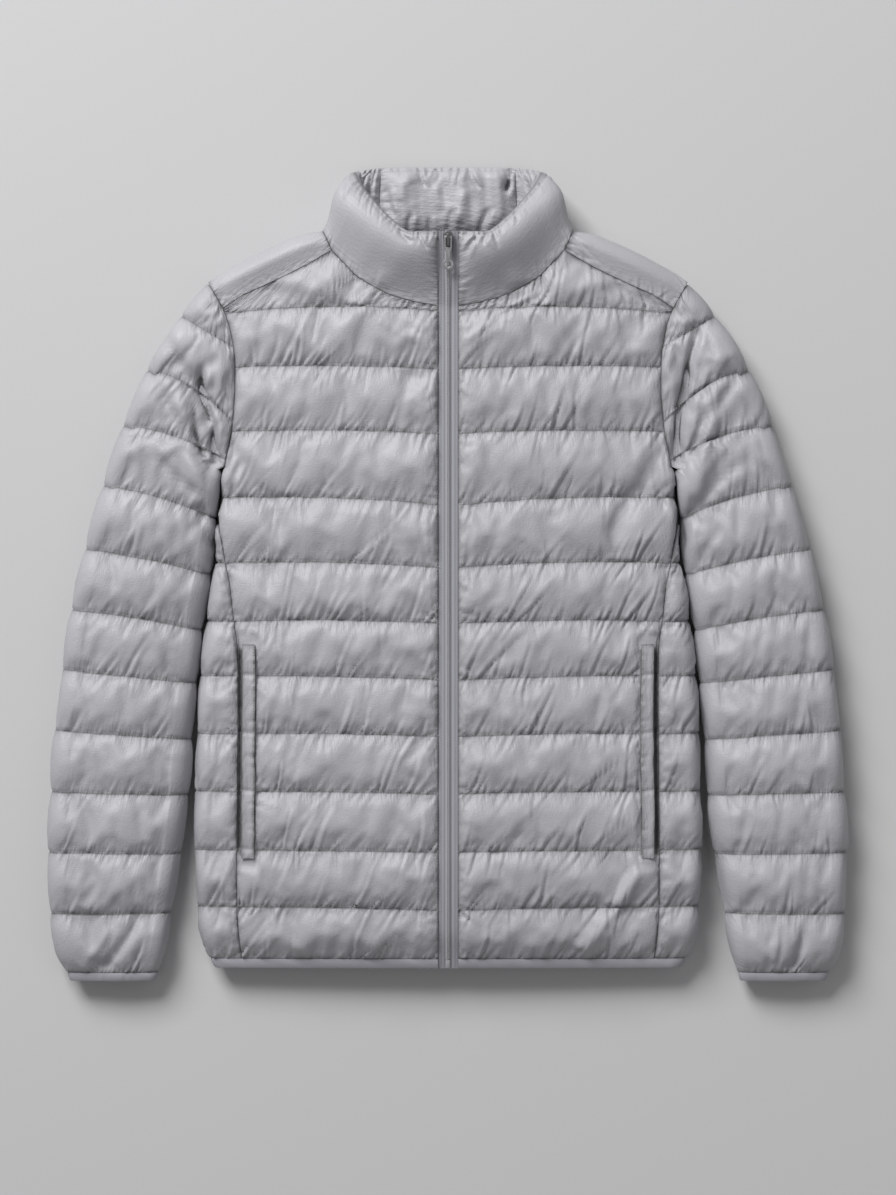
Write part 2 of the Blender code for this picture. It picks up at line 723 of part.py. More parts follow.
def sleeve_section(outer_y, inner_y, bow, is_open, loft):
    """Points, normals, lofts and depths round the sleeve, from its inner end over the top."""
    start = Vector((sleeve_inner(inner_y), inner_y))
    end = Vector((curve(SLEEVE_OUTER, outer_y), outer_y))
    out = (end - start).normalized()
    length = (end - start).length - SIDE_LOFT
    top = curve(SLEEVE_HEIGHT, outer_y)
    rounding = min(SLEEVE_ROUND, SLEEVE_ROUND_SHARE * length)
    inner_round = curve(SLEEVE_INNER_ROUND, inner_y)
    first = 0.0 if is_open else SIDE_LOFT + inner_round
    last = length - rounding
    wall_share = min(1.0, max(0.0, (outer_y - CUFF_Y) / CUFF_TAPER))
    top_depth = lerp(EDGE_WALL, TOP_WALL, wall_share)
    under_depth = lerp(EDGE_WALL, SLEEVE_UNDER_WALL, wall_share)
    section = []

    def put(point, normal, share):
        place = Vector(point)
        place.y += bow * 4.0 * share * (1.0 - share)
        facing = max(0.0, -normal.z)
        depth = lerp(top_depth, under_depth, facing * facing)
        height = lerp(SIDE_LOFT, loft, max(0.0, normal.z) ** LOFT_FALL)
        if is_open:
            height *= seam_share(share * length)
        section.append((place, normal, height, depth))

    for column in range(SLEEVE_TOP_COLUMNS + 1):
        share = column / SLEEVE_TOP_COLUMNS
        spot = start + out * lerp(first, last, share)
        rise = SLEEVE_CROWN * 4.0 * share * (1.0 - share)
        put((spot.x, spot.y, top + rise), Vector((0.0, 0.0, 1.0)), lerp(first, last, share) / length)
    for turn in (0.25, 0.5, 0.75):
        point, normal = round_point(start + out * last, out * rounding, top, turn)
        put(point, normal, 1.0)
    for column in range(SLEEVE_UNDER_COLUMNS + 1):
        share = column / SLEEVE_UNDER_COLUMNS
        spot = start + out * lerp(last, first, share)
        put((spot.x, spot.y, UNDER_PINCH), Vector((0.0, 0.0, -1.0)), lerp(last, first, share) / length)
    for turn in SLEEVE_INNER_TURNS:
        point, normal = round_point(start + out * first, -out * inner_round, top, turn)
        put(point, normal, 0.0)
    return section


def sleeve_rows():
    """Each row of the sleeve: y outside, y inside, bow, step, channel width, open or closed."""
    rows = []
    for channel, step in channel_rows(SLEEVE_LINES):
        low = SLEEVE_LINES[channel]
        high = SLEEVE_LINES[channel + 1]
        outer_y, inner_y, bow = (lerp(a, b, step) for a, b in zip(low, high))
        width = ((high[0] - low[0]) + (high[1] - low[1])) / 2
        rows.append((outer_y, inner_y, bow, step, width, inner_y > UNDERARM_Y))
    return rows


def add_ring(wall, section, is_open):
    """Add one ring of points; above the underarm a ring has no inner side."""
    if is_open:
        return [wall.add(*entry) for entry in section[:-2]] + [None] * 3
    numbers = [wall.add(*entry) for entry in section]
    return numbers + [numbers[0]]


def sleeve_wall():
    """The quilted sleeve: closed round the arm below the underarm, open to the body above it."""
    wall = Wall()
    rows = []
    for outer_y, inner_y, bow, step, width, is_open in sleeve_rows():
        loft = CHANNEL_LOFT * min(1.0, width / FULL_CHANNEL)
        section = sleeve_section(outer_y, inner_y, bow, is_open, loft)
        shape = channel_shape(step)
        section = [(point, normal, height * shape, depth) for point, normal, height, depth in section]
        rows.append(add_ring(wall, section, is_open))
    wall.grid(rows)
    return wall


def cuff_wall():
    """The binding round the cuff."""
    wall = Wall()
    rows = []
    for step, proud in BINDING_ROWS:
        y = lerp(CUFF_Y, CUFF_END_Y, step)
        section = sleeve_section(y, y, 0.0, False, 0.0)
        section = [(point, normal, proud, EDGE_WALL) for point, normal, _, _ in section]
        rows.append(add_ring(wall, section, False))
    wall.grid(rows)
    return wall


def hem_wall():
    """The binding round the hem, open at the zip."""
    wall = Wall()
    rows = []
    for step, proud in BINDING_ROWS:
        y = lerp(HEM_Y, HEM_END_Y, step)
        edge = top_half_width(y)
        girths = [lerp(ZIP_HALF, edge, n / HEM_FRONT_COLUMNS) for n in range(HEM_FRONT_COLUMNS)]
        girths += [edge + SIDE_GIRTH * turn for turn in (0.0, 0.25, 0.5, 0.75)]
        girths += [edge + SIDE_GIRTH + edge * n / HEM_BACK_COLUMNS for n in range(HEM_BACK_COLUMNS)]
        half = [body_point(girth, y) for girth in girths]
        centre = (Vector((0.0, y, UNDER_PINCH)), Vector((0.0, 0.0, -1.0)))
        mirrored = [(Vector((-p.x, p.y, p.z)), Vector((-n.x, n.y, n.z))) for p, n in reversed(half)]
        loop = half + [centre] + mirrored
        rows.append([wall.add(point, normal, proud, EDGE_WALL) for point, normal in loop])
    wall.grid(rows)
    return wall


# Collar

def collar_base():
    """Points and normals of the neck seam, from the zip round to the centre back."""
    up = Vector((0.0, 0.0, 1.0))
    base = [(Vector((x, y, body_top(x, y))), up) for x, y in NECK_SEAM[:-1]]
    base += yoke_section(YOKE[0])
    down = Vector((0.0, 0.0, -1.0))
    base += [(Vector((x, y, UNDER_PINCH)), down) for x, y in BACK_NECK]
    return base


def collar_top():
    """Points and normals of the collar's top edge, matching the neck seam's."""
    top = []
    table = COLLAR_TOP_FRONT + COLLAR_TOP_SIDE + COLLAR_TOP_BACK
    for x, y, z, turn in table:
        angle = math.radians(turn)
        top.append((Vector((x, y, z)), Vector((math.sin(angle), 0.0, math.cos(angle)))))
    return top


def collar_column(base, top):
    """The points up one column of the collar."""
    column = []
    for height in COLLAR_ROWS:
        point = base[0].lerp(top[0], height)
        normal = base[1].lerp(top[1], height).normalized()
        loft = lerp(SIDE_LOFT, COLLAR_LOFT, max(0.0, normal.z)) * math.sin(math.pi * height)
        if height == 1.0:
            loft = -COLLAR_EDGE_SINK
        edge_share = abs(2.0 * height - 1.0) ** COLLAR_EDGE_POWER
        depth = COLLAR_WALL - COLLAR_EDGE_THIN * edge_share
        column.append((point, normal, loft, depth))
    return column


def collar_walls():
    """The collar's side part, from the zip to its seam at the back, and its back part."""
    columns = [collar_column(base, top) for base, top in zip(collar_base(), collar_top())]
    split = len(columns) - len(BACK_NECK) + COLLAR_SEAM_ROW
    side_part = Wall()
    side_part.grid([[side_part.add(*entry) for entry in column] for column in columns[:split + 1]])
    half = columns[split:]
    back_part = Wall()
    mirrored = []
    for column in reversed(half[:-1]):
        mirrored.append([(Vector((-p.x, p.y, p.z)), Vector((-n.x, n.y, n.z)), loft, depth)
                         for p, n, loft, depth in column])
    back_part.grid([[back_part.add(*entry) for entry in column] for column in half + mirrored])
    return side_part, back_part


# Zip

def zip_height(y):
    """Height of the fronts' stitched edges beside the zip, up the body and the collar."""
    neck_y = NECK_SEAM[0][1]
    if y <= neck_y:
        return body_top(ZIP_HALF, y)
    share = (y - neck_y) / (COLLAR_TOP_FRONT[0][1] - neck_y)
    return lerp(body_top(ZIP_HALF, neck_y), COLLAR_TOP_FRONT[0][2], share)


def zip_stations():
    """y of each row of the tapes and the coil, from the hem's end to the collar's top."""
    neck_y = NECK_SEAM[0][1]
    low_rows, body_rows, collar_rows = ZIP_ROWS
    low = [lerp(HEM_END_Y, ZIP_LOW_Y, n / low_rows) for n in range(low_rows)]
    body = [lerp(ZIP_LOW_Y, neck_y, n / body_rows) for n in range(body_rows + 1)]
    top_y = COLLAR_TOP_FRONT[0][1]
    collar = [lerp(neck_y, top_y, (n + 1) / collar_rows) for n in range(collar_rows)]
    return low + body + collar


def tape_wall():
    """One woven tape, between a front's edge and the coil."""
    wall = Wall()
    up = Vector((0.0, 0.0, 1.0))
    rows = []
    for y in zip_stations():
        row = []
        for x in (TAPE_INNER - SEAM_GAP / 2, ZIP_HALF):
            row.append(wall.add((x, y, zip_height(y) - TAPE_SINK), up, 0.0, TAPE_WALL))
        rows.append(row)
    wall.grid(rows)
    return wall


def coil_wall(start_y, end_y):
    """A stretch of the closed coil: a low rounded strip."""
    wall = Wall()
    up = Vector((0.0, 0.0, 1.0))
    rows = []
    profile = ((-COIL_HALF, -COIL_SHOULDER), (-COIL_HALF / 2, 0.0), (COIL_HALF / 2, 0.0),
               (COIL_HALF, -COIL_SHOULDER))
    for y in [start_y] + [y for y in zip_stations() if start_y + 1 < y < end_y - 1] + [end_y]:
        top = zip_height(y) + COIL_TOP
        rows.append([wall.add((x, y, top + drop), up, 0.0, COIL_DEPTH + drop) for x, drop in profile])
    wall.grid(rows)
    return wall


def box_shape(size, centre):
    """A bmesh box."""
    shape = bmesh.new()
    bmesh.ops.create_cube(shape, size=1.0)
    bmesh.ops.scale(shape, vec=Vector(size) * MM, verts=shape.verts)
    bmesh.ops.translate(shape, vec=Vector(centre) * MM, verts=shape.verts)
    return shape


def shape_object(name, shape, material):
    """Make an object of a bmesh."""
    bmesh.ops.recalc_face_normals(shape, faces=shape.faces)
    mesh = bpy.data.meshes.new(name)
    shape.to_mesh(mesh)
    shape.free()
    return link_mesh(name, mesh, material)


def prism_shape(outline, low, high):
    """An outline in X and Y, raised from a low to a high Z."""
    shape = bmesh.new()
    floor = [shape.verts.new((x * MM, y * MM, low * MM)) for x, y in outline]
    roof = [shape.verts.new((x * MM, y * MM, high * MM)) for x, y in outline]
    shape.faces.new(list(reversed(floor)))
    shape.faces.new(roof)
    count = len(outline)
    for n in range(count):
        after = (n + 1) % count
        shape.faces.new((floor[n], floor[after], roof[after], roof[n]))
    return shape


def hide_guide(thing):
    """Mark an object as a cutter or a guide that the model leaves out."""
    thing.hide_render = True
    thing.display_type = "WIRE"


def combine(target, tool, operation):
    """Join a guide to an object, or cut it away."""
    hide_guide(tool)
    modifier = target.modifiers.new(operation.title(), "BOOLEAN")
    modifier.operation = operation
    modifier.solver = "EXACT"
    modifier.object = tool


def zip_tilt():
    """Slope of the zip along the collar."""
    neck_y = NECK_SEAM[0][1]
    run = COLLAR_TOP_FRONT[0][1] - neck_y
    return math.atan2(COLLAR_TOP_FRONT[0][2] - body_top(ZIP_HALF, neck_y), run)


def pivot_height():
    """Height of the pull tab's crossbar over the slider's underside."""
    return SLIDER_SIZE[2] + BAIL_CLEAR / 2


def build_slider(material):
    """The slider: a bevelled body that carries a bail, with the pull tab's crossbar under it."""
    place = Vector((0.0, SLIDER_Y, zip_height(SLIDER_Y) + COIL_TOP + SURFACE_GAP)) * MM
    tilt = zip_tilt()
    width, length, height = SLIDER_SIZE
    shape = prism_shape([(x * width, y * length) for x, y in SLIDER_OUTLINE], 0.0, height)
    slider = shape_object("zip_slider", shape, material)
    slider.location = place
    slider.rotation_euler = (tilt, 0.0, 0.0)
    bail_top = height + BAIL_CLEAR + BAIL_BAR
    arch = box_shape((BAIL_WIDTH, 2 * BAIL_HALF_LENGTH, bail_top - BAIL_ROOT),
                     (0.0, 0.0, (BAIL_ROOT + bail_top) / 2))
    bail = shape_object("slider_bail_guide", arch, material)
    bail.parent = slider
    combine(slider, bail, "UNION")
    gap = box_shape((BAIL_WIDTH + CUT_MARGIN, 2 * (BAIL_HALF_LENGTH - BAIL_BAR), BAIL_CLEAR),
                    (0.0, 0.0, height + BAIL_CLEAR / 2 + CUT_OVERRUN))
    cutter = shape_object("slider_bail_cutter", gap, material)
    cutter.parent = slider
    combine(slider, cutter, "DIFFERENCE")
    return slider


def pull_outline():
    """The pull tab seen from above: crossbar end, two arms, a stem and the ring's round."""
    ring_y = -PULL_LENGTH
    slot_end = -(PULL_BAR / 2 + PULL_SLOT_LENGTH)
    meet = math.asin(PULL_STEM_HALF / RING_OUTER)
    stem_y = slot_end - PULL_STEM_START
    arm_y = slot_end - PULL_ARM_END
    outline = [(PULL_STEM_HALF, stem_y), (PULL_HALF_WIDTH, arm_y),
               (PULL_HALF_WIDTH, PULL_BAR / 2), (-PULL_HALF_WIDTH, PULL_BAR / 2),
               (-PULL_HALF_WIDTH, arm_y), (-PULL_STEM_HALF, stem_y)]
    for step in range(RING_SIDES + 1):
        angle = math.pi / 2 + meet + (2.0 * math.pi - 2.0 * meet) * step / RING_SIDES
        outline.append((RING_OUTER * math.cos(angle), ring_y + RING_OUTER * math.sin(angle)))
    return outline


def build_pull(material):
    """The pull tab: its origin is on its crossbar's axis."""
    slider_place = Vector((0.0, SLIDER_Y, zip_height(SLIDER_Y) + COIL_TOP + SURFACE_GAP))
    tilt = zip_tilt()
    offset = Vector((0.0, PIVOT_Y * math.cos(tilt) - pivot_height() * math.sin(tilt),
                     PIVOT_Y * math.sin(tilt) + pivot_height() * math.cos(tilt)))
    pull = shape_object("zip_pull", prism_shape(pull_outline(), -PULL_WALL / 2, PULL_WALL / 2),
                        material)
    pull.location = (slider_place + offset) * MM
    pull.rotation_euler = (tilt, 0.0, 0.0)
    slot = box_shape((2 * PULL_SLOT_HALF, PULL_SLOT_LENGTH, 3 * PULL_WALL),
                     (0.0, -(PULL_BAR + PULL_SLOT_LENGTH) / 2, 0.0))
    slot_cutter = shape_object("pull_slot_cutter", slot, material)
    ring = [(RING_INNER * math.cos(2 * math.pi * n / RING_SIDES),
             -PULL_LENGTH + RING_INNER * math.sin(2 * math.pi * n / RING_SIDES))
            for n in range(RING_SIDES)]
    ring_cutter = shape_object("pull_ring_cutter", prism_shape(ring, -2 * PULL_WALL, 2 * PULL_WALL),
                               material)
    for cutter in (slot_cutter, ring_cutter):
        cutter.parent = pull
        combine(pull, cutter, "DIFFERENCE")
    return pull


# Pocket welts

def panel_point(wall, rows, column, y, side):
    """Outer point of a panel where one of its columns passes a y."""
    for upper, lower in zip(rows, rows[1:]):
        high = wall.points[upper[column]].y
        low = wall.points[lower[column]].y
        if low <= y <= high:
            share = (high - y) / (high - low)
            ends = []
            for number in (upper[column], lower[column]):
                place = wall.points[number]
                normal = wall.normals[number]
                loft = wall.lofts[number] + fold_rise(side * place.x, place.y, normal)
                ends.append(place + normal * loft)
            return ends[0].lerp(ends[1], share)
    return None


def welt_wall(side):
    """A pocket welt: a flat strip made from the front's own points, moved out."""
    front, rows = front_wall()
    first, last = WELT_COLUMNS
    spots = [front.points[row[first]].y for row in rows]
    low = WELT_BOTTOM_Y + WELT_ROW_CLEAR
    high = WELT_TOP_Y - WELT_ROW_CLEAR
    between = [y for y in spots if low < y < high]
    wall = Wall()
    welt_rows = []
    for y in [WELT_TOP_Y] + between + [WELT_BOTTOM_Y]:
        numbers = []
        for column in (first, last):
            point = panel_point(front, rows, column, y, side)
            point.z += SURFACE_GAP + WELT_WALL
            numbers.append(wall.add(point, (0.0, 0.0, 1.0), 0.0, WELT_WALL))
        welt_rows.append(numbers)
    wall.grid(welt_rows)
    return wall


def main():
    """Build every piece of the jacket."""
    clear_scene()
    finish = {name: make_material(name) for name in FINISHES}
    front, _ = front_wall()
    collar_side, collar_back = collar_walls()
    for side, label in ((1, "left"), (-1, "right")):
        build_wall("front_" + label, front, finish["shell"], side, folded=True)
        build_wall("side_" + label, side_wall(), finish["shell"], side, folded=True)
        build_wall("yoke_" + label, yoke_wall(), finish["shell"], side)
        build_wall("sleeve_" + label, sleeve_wall(), finish["shell"], side, folded=True)
        build_wall("cuff_binding_" + label, cuff_wall(), finish["binding"], side)
        build_wall("collar_" + label, collar_side, finish["shell"], side)
        build_wall("zip_tape_" + label, tape_wall(), finish["tape"], side)
        build_wall("pocket_welt_" + label, welt_wall(side), finish["binding"], side)
    build_wall("back", back_wall(), finish["shell"])
    build_wall("collar_back", collar_back, finish["shell"])
    build_wall("hem_binding", hem_wall(), finish["binding"])
    coil_start = HEM_END_Y + ZIP_END_LENGTH
    build_wall("zip_coil", coil_wall(coil_start, COLLAR_TOP_FRONT[0][1]), finish["coil"])
    build_wall("zip_end", coil_wall(HEM_END_Y, coil_start), finish["metal"])
    build_slider(finish["metal"])
    build_pull(finish["metal"])


main()
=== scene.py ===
"""Puffer jacket, zipped up and laid flat with its front up.

Sizes are in millimetres and become metres when a mesh is made. +X is the wearer's left, +Y is
towards the collar and +Z is up, as in the frame that is loaded here.
"""
import math

import bmesh
import bpy
import numpy as np
from bpy.props import FloatProperty, FloatVectorProperty, IntProperty, PointerProperty
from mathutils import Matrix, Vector


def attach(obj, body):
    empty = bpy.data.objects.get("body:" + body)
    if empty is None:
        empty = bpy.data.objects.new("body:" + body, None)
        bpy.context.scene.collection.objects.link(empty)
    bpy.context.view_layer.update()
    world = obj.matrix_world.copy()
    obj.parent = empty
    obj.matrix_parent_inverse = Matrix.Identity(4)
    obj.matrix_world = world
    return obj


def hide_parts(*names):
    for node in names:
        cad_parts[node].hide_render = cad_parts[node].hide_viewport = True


bl_info = {
    "name": "Puffer jacket",
    "version": (1, 0, 0),
    "blender": (4, 5, 0),
    "location": "View3D > Sidebar > Jacket",
    "description": "Sews, puffs up and dresses a quilted jacket that lies flat",
    "category": "Object",
}

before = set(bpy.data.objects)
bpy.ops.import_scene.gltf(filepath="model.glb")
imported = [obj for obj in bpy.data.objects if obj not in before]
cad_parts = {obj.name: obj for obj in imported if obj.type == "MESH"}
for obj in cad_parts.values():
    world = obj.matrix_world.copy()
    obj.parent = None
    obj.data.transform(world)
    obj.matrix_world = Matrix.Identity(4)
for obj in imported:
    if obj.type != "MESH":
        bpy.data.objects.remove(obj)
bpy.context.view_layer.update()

MM = 0.001
TINY = 1e-9                 # no length is divided by less
CLOSE = 1e-6                # places this near each other are the same
FAR = 1e3
MIRROR = (-1.0, 1.0, 1.0)   # from the wearer's left to the wearer's right
RIPPLE_CELLS = 510          # cells of noise before it comes again
RIPPLE_START = 200.0        # keeps its places above zero
POINT_BLOCK = 4000          # distances are found for this many points at a time,
RIM_BLOCK = 600             # to this many points of the rim

# The jacket's own sizes
SEAM_GAP = 0.36             # between two pieces that are sewn together
SURFACE_GAP = 0.5           # under a piece that lies on another
UNDER_PINCH = 2.0           # height of the underside's stitches
MID_HEIGHT = 18.0           # height of the widest line round a side
TOP_WALL = 6.0              # depth of the top's wall,
UNDER_WALL = 13.0           # of the underside's,
SLEEVE_UNDER_WALL = 12.0    # of the sleeves' underside's,
COLLAR_WALL = 9.0           # of the collar's
EDGE_WALL = 3.5             # and of any wall's at the hem and the cuffs
HEM_TAPER = 40.0            # length over which the top's wall gets its depth from the hem,
UNDER_HEM_TAPER = 45.0      # the underside's from the hem,
CUFF_TAPER = 50.0           # and a sleeve's from the cuff
NECK_TAPER = (235.0, 300.0)     # between these the underside's wall turns into the collar's
SIDE_LOFT = 2.0             # how full a panel is where it faces sideways or down
LOFT_FALL = 2.4             # how soon it gets less full as it turns away from facing up
FULL_CHANNEL = 52.0         # a channel this wide has its whole loft
CHANNEL_POWER = 2.6         # how flat a channel's crown is
ZIP_HALF = 9.0              # distance of the fronts' edges from the centre
TAPE_INNER = 2.8            # and of the tapes' inner edges
TAPE_SINK = 1.0             # how far the tapes lie below the fronts' edges
TAPE_WALL = 0.9
COIL_TOP = 0.4              # how far the coil stands above the fronts' edges
ZIP_END_LENGTH = 8.0
HEM_Y = -348.0              # the hem's last stitch line, and its edge
HEM_END_Y = -357.0
CUFF_Y = -361.0             # the cuff's last stitch line, and its edge
CUFF_END_Y = -369.0
UNDERARM_Y = 93.0
SIDE_TOP_Y = UNDERARM_Y - 0.5
SIDE_SEAM_TURN_Y = 45.0     # above this the front reaches to the body's widest line
SIDES = ((1, "left"), (-1, "right"))
PUFFED = ("front", "side", "sleeve")    # the panels that the cloth puffs up

# y, half width of the body outside its quilting
BODY_EDGE = (
    (-357.0, 212.5), (-348.0, 217.0), (-336.0, 221.5), (-319.0, 226.0), (-297.0, 228.5),
    (-248.0, 231.0), (-177.0, 229.5), (-114.0, 227.0), (-60.0, 221.0), (-24.0, 216.0),
    (7.0, 210.5), (48.0, 208.0), (93.0, 204.2),
)
# y, half width of the armhole seam
ARMHOLE = (
    (93.0, 201.5), (103.5, 199.5), (134.0, 194.0), (169.0, 191.7), (191.5, 192.0),
    (221.5, 196.7), (238.5, 202.7),
)
# y, half width of the seam between the front and the side panel
SIDE_SEAM = (
    (-348.0, 186.5), (-298.0, 190.0), (-256.0, 190.0), (-114.0, 189.0), (-69.0, 189.5),
    (-38.0, 193.5), (-10.0, 196.5), (9.0, 200.5), (30.0, 203.5), (45.0, 206.0),
)
# y, pinched height at the body's sides, rise from there to the centre
BODY_HEIGHT = (
    (-357.0, 23.0, 4.0), (-348.0, 25.0, 5.0), (-320.0, 30.0, 9.0), (-250.0, 34.0, 11.0),
    (0.0, 34.0, 12.0), (238.5, 34.0, 10.0), (310.0, 34.0, 8.0),
)
# y, how far in from the widest line the body's side starts to round
SIDE_ROUND = ((-357.0, 12.0), (-24.0, 14.0), (20.0, 11.0), (45.0, 8.0), (93.0, 4.0))
SIDE_GIRTH = 48.0           # length round the side, from the top's edge to the underside's
BACK_SEAM_TURN = 8.0        # how far under the side panel reaches
BACK_SEAM_TAPER = 70.0      # length below the underarm over which it gets there

# Stitch lines across the front: y at the outer end, at mid width and at the zip
FRONT_LINES = (
    (234.0, 239.5, 235.0), (186.0, 186.5, 183.5), (128.0, 128.5, 125.5), (68.0, 68.0, 61.5),
    (9.5, 10.0, 5.5), (-43.0, -42.0, -44.5), (-92.0, -92.5, -95.5), (-144.0, -144.0, -146.0),
    (-196.0, -196.0, -198.0), (-248.5, -249.0, -250.0), (-300.0, -300.5, -302.5),
    (HEM_Y, HEM_Y, HEM_Y),
)
LINE_Y = tuple(row[0] for row in FRONT_LINES)
TOP_CHANNEL = 35.0          # nominal width of the channel above the first line
BACK_TOP_Y = 270.0          # nominal top of the back's first channel
# Neck seam, from the zip to the yoke's corner: x, y
NECK_SEAM = ((ZIP_HALF, 239.5), (32.5, 244.0), (56.0, 251.5), (79.0, 264.5), (90.0, 274.5),
             (104.5, 290.0))
# Yoke, from the neck to the armhole: x and y of its front seam, x and y of the shoulder's edge
YOKE = (
    (104.5, 290.0, 113.5, 309.5), (130.5, 275.0, 134.0, 302.0), (162.0, 260.0, 166.0, 287.5),
    (184.5, 250.0, 191.0, 275.5), (202.7, 238.5, 217.0, 263.0),
)
YOKE_ROUND = 12.0           # how far in from its edge the shoulder starts to round
YOKE_UNDER = 18.0           # how far under the shoulder the yoke reaches
YOKE_LOFT = 5.5
YOKE_END_LOFT = 0.35        # share of the loft left at the neck and at the armhole
# Places over the shoulder, from 0 at the front seam: the top's end, the turn's end, the last
YOKE_FLAT, YOKE_TURNED, YOKE_LAST = 2.0, 6.0, 7.0
# Back neck seam, from the yoke's lower corner to the centre: x, y
BACK_NECK = ((88.0, 296.0), (64.0, 298.5), (40.0, 300.5), (20.0, 302.0), (0.0, 303.0))

# Columns of the front: share of the width at the pocket, where two of them are the welt's edges
POCKET_COLUMNS = (0.0, 0.13, 0.27, 0.41, 0.55, 0.68, 0.80, 0.91, 0.985, 1.0)
COLUMN_BLEND = (60.0, 236.0)   # the columns fan out to the neck's and yoke's points between these

# Sleeve stitch lines from the cuff up: y at the outer edge, y at the inner end, rise at mid row
SLEEVE_LINES = (
    (CUFF_Y, CUFF_Y, 0.0), (-307.0, -306.5, 0.0), (-251.5, -253.0, 0.0), (-197.0, -200.0, 0.0),
    (-141.0, -150.0, 0.0), (-86.5, -99.0, 0.0), (-32.5, -51.5, 2.0), (22.5, -1.0, 2.0),
    (80.0, 49.5, 4.0), (134.0, 102.0, 6.0), (184.5, 136.0, 9.0), (233.0, 203.5, 0.0),
    (263.0, 238.5, 0.0),
)
# y, distance of the sleeve's outer edge from the centre
SLEEVE_OUTER = (
    (-369.0, 343.5), (-361.0, 346.5), (-347.5, 353.5), (-331.0, 357.5), (-307.0, 361.0),
    (-274.5, 362.0), (-249.5, 362.5), (-198.0, 360.0), (-142.0, 357.0), (-86.5, 350.0),
    (-33.5, 341.5), (23.5, 329.0), (81.0, 312.5), (135.0, 294.5), (185.5, 272.5),
    (233.0, 242.5), (263.0, 217.0),
)
# y, distance of the sleeve's inner edge from the centre
SLEEVE_INNER = (
    (-369.0, 263.5), (-361.0, 261.0), (-330.0, 253.0), (-297.0, 247.5), (-260.0, 241.0),
    (-195.0, 233.5), (-146.0, 230.5), (-92.5, 226.0), (-47.0, 221.5), (0.0, 213.5),
    (49.5, 209.5), (102.0, 205.5),
)
# y at the outer edge, pinched height of the sleeve's top
SLEEVE_HEIGHT = ((-369.0, 22.0), (-361.0, 24.0), (-320.0, 30.0), (-250.0, 34.0), (263.0, 34.0))
# y at the inner edge, how far in the sleeve's inner side starts to round
SLEEVE_INNER_ROUND = ((-369.0, 9.0), (-250.0, 13.0), (0.0, 11.0), (50.0, 6.0), (102.0, 2.5))
SLEEVE_ROUND = 14.0         # how far in from its edge a sleeve's outer side starts to round
SLEEVE_ROUND_SHARE = 0.42   # the rounding takes no more than this share of the width
SLEEVE_CLOSING_Y = 96.0     # below this the sleeve's inner side closes
SLEEVE_CLOSING = 14.0       # over this length
SLEEVE_LEAST_ROUND = 0.3    # share of its rounding that the inner side starts with
SLEEVE_CROWN = 2.5          # the sleeve's pinched top is this much higher at mid width

# Collar's top edge, from the zip round the side to the centre back: x, y, z, turn of the wall in
# degrees from facing up (0) through facing out (90) to facing down (180)
COLLAR_TOP_FRONT = (
    (ZIP_HALF, 305.0, 62.0, 0.0), (24.0, 305.0, 62.0, 0.0), (37.0, 306.0, 61.0, 0.0),
    (53.0, 319.0, 57.0, 4.0), (66.0, 333.0, 51.0, 8.0), (76.0, 345.0, 44.0, 16.0),
)
COLLAR_TOP_SIDE = (
    (81.0, 352.0, 40.0, 24.0), (84.5, 357.5, 35.0, 35.0), (87.5, 362.0, 27.0, 62.0),
    (88.5, 363.5, 17.0, 90.0), (86.0, 365.0, 7.0, 135.0), (81.0, 366.0, 2.0, 180.0),
    (76.0, 366.5, 2.0, 180.0),
)
COLLAR_TOP_BACK = (
    (69.0, 367.5, 2.0, 180.0), (61.0, 368.5, 2.0, 180.0), (40.0, 369.0, 2.0, 180.0),
    (20.0, 369.0, 2.0, 180.0), (0.0, 369.0, 2.0, 180.0),
)
ZIP_TOP_Y = COLLAR_TOP_FRONT[0][1]
COLLAR_LOFT = 5.5
COLLAR_EDGE_THIN = 2.4      # the wall is this much thinner at its seam and at its top edge
COLLAR_EDGE_POWER = 4       # how soon it is thick again away from them

# Pocket welt on each front
WELT_COLUMNS = (7, 8)
WELT_TOP_Y = -64.0
WELT_BOTTOM_Y = -256.5
WELT_WALL = 2.2
WELT_SEAT = 3.5             # the front is this high under the welt, right along it
WELT_SEAT_MARGIN = 9.0      # and this far past its ends
WELT_COVER_EDGE = 0.12      # share of a column over which its cover of the front ends
WELT_BESIDE = (24.0, 3.0)   # width of a column beside the welt, towards the zip and past the slit
WELT_HOLLOW = 0.8           # share of the front's loft that the welt's seam takes beside it
WELT_HOLLOW_REACH = 5.0
WELT_HELD = 0.3             # the front is held where the welt covers more than this of it
WELT_THINNEST = 0.7
WELT_FREE = 0.86            # its free edge lies this far across, short of the slit
# y, share of the welt's width that it reaches across, depth
WELT_CREASES = (
    (-134.0, 0.8, 0.9), (-151.0, 0.55, 0.7), (-165.5, 0.9, 0.9), (-175.0, 0.5, 0.7),
    (-231.0, 0.7, 0.8),
)

# The largest folds, in the whole jacket's own places: x and y of each end, half width, rise
FOLDS = (
    (-219.0, 162.0, -207.0, 100.0, 8.0, -4.5),
    (225.0, 213.0, 205.0, 105.0, 8.0, -4.5),
    (-240.0, 150.0, -222.0, 70.0, 9.0, 3.0),
    (246.0, 190.0, 222.0, 75.0, 9.0, 3.0),
    (-310.0, -352.0, -279.0, -313.0, 7.0, -3.0),
    (311.0, -352.0, 320.0, -325.0, 7.0, -3.0),
    (175.0, -265.0, 125.0, -338.0, 10.0, 3.0),
    (-150.0, 45.0, -192.0, 110.0, 10.0, -3.5),
    (150.0, 40.0, 193.0, 112.0, 10.0, -3.5),
    (-60.0, 262.0, -96.0, 215.0, 10.0, 2.5),
    (60.0, 262.0, 98.0, 218.0, 10.0, 2.5),
)

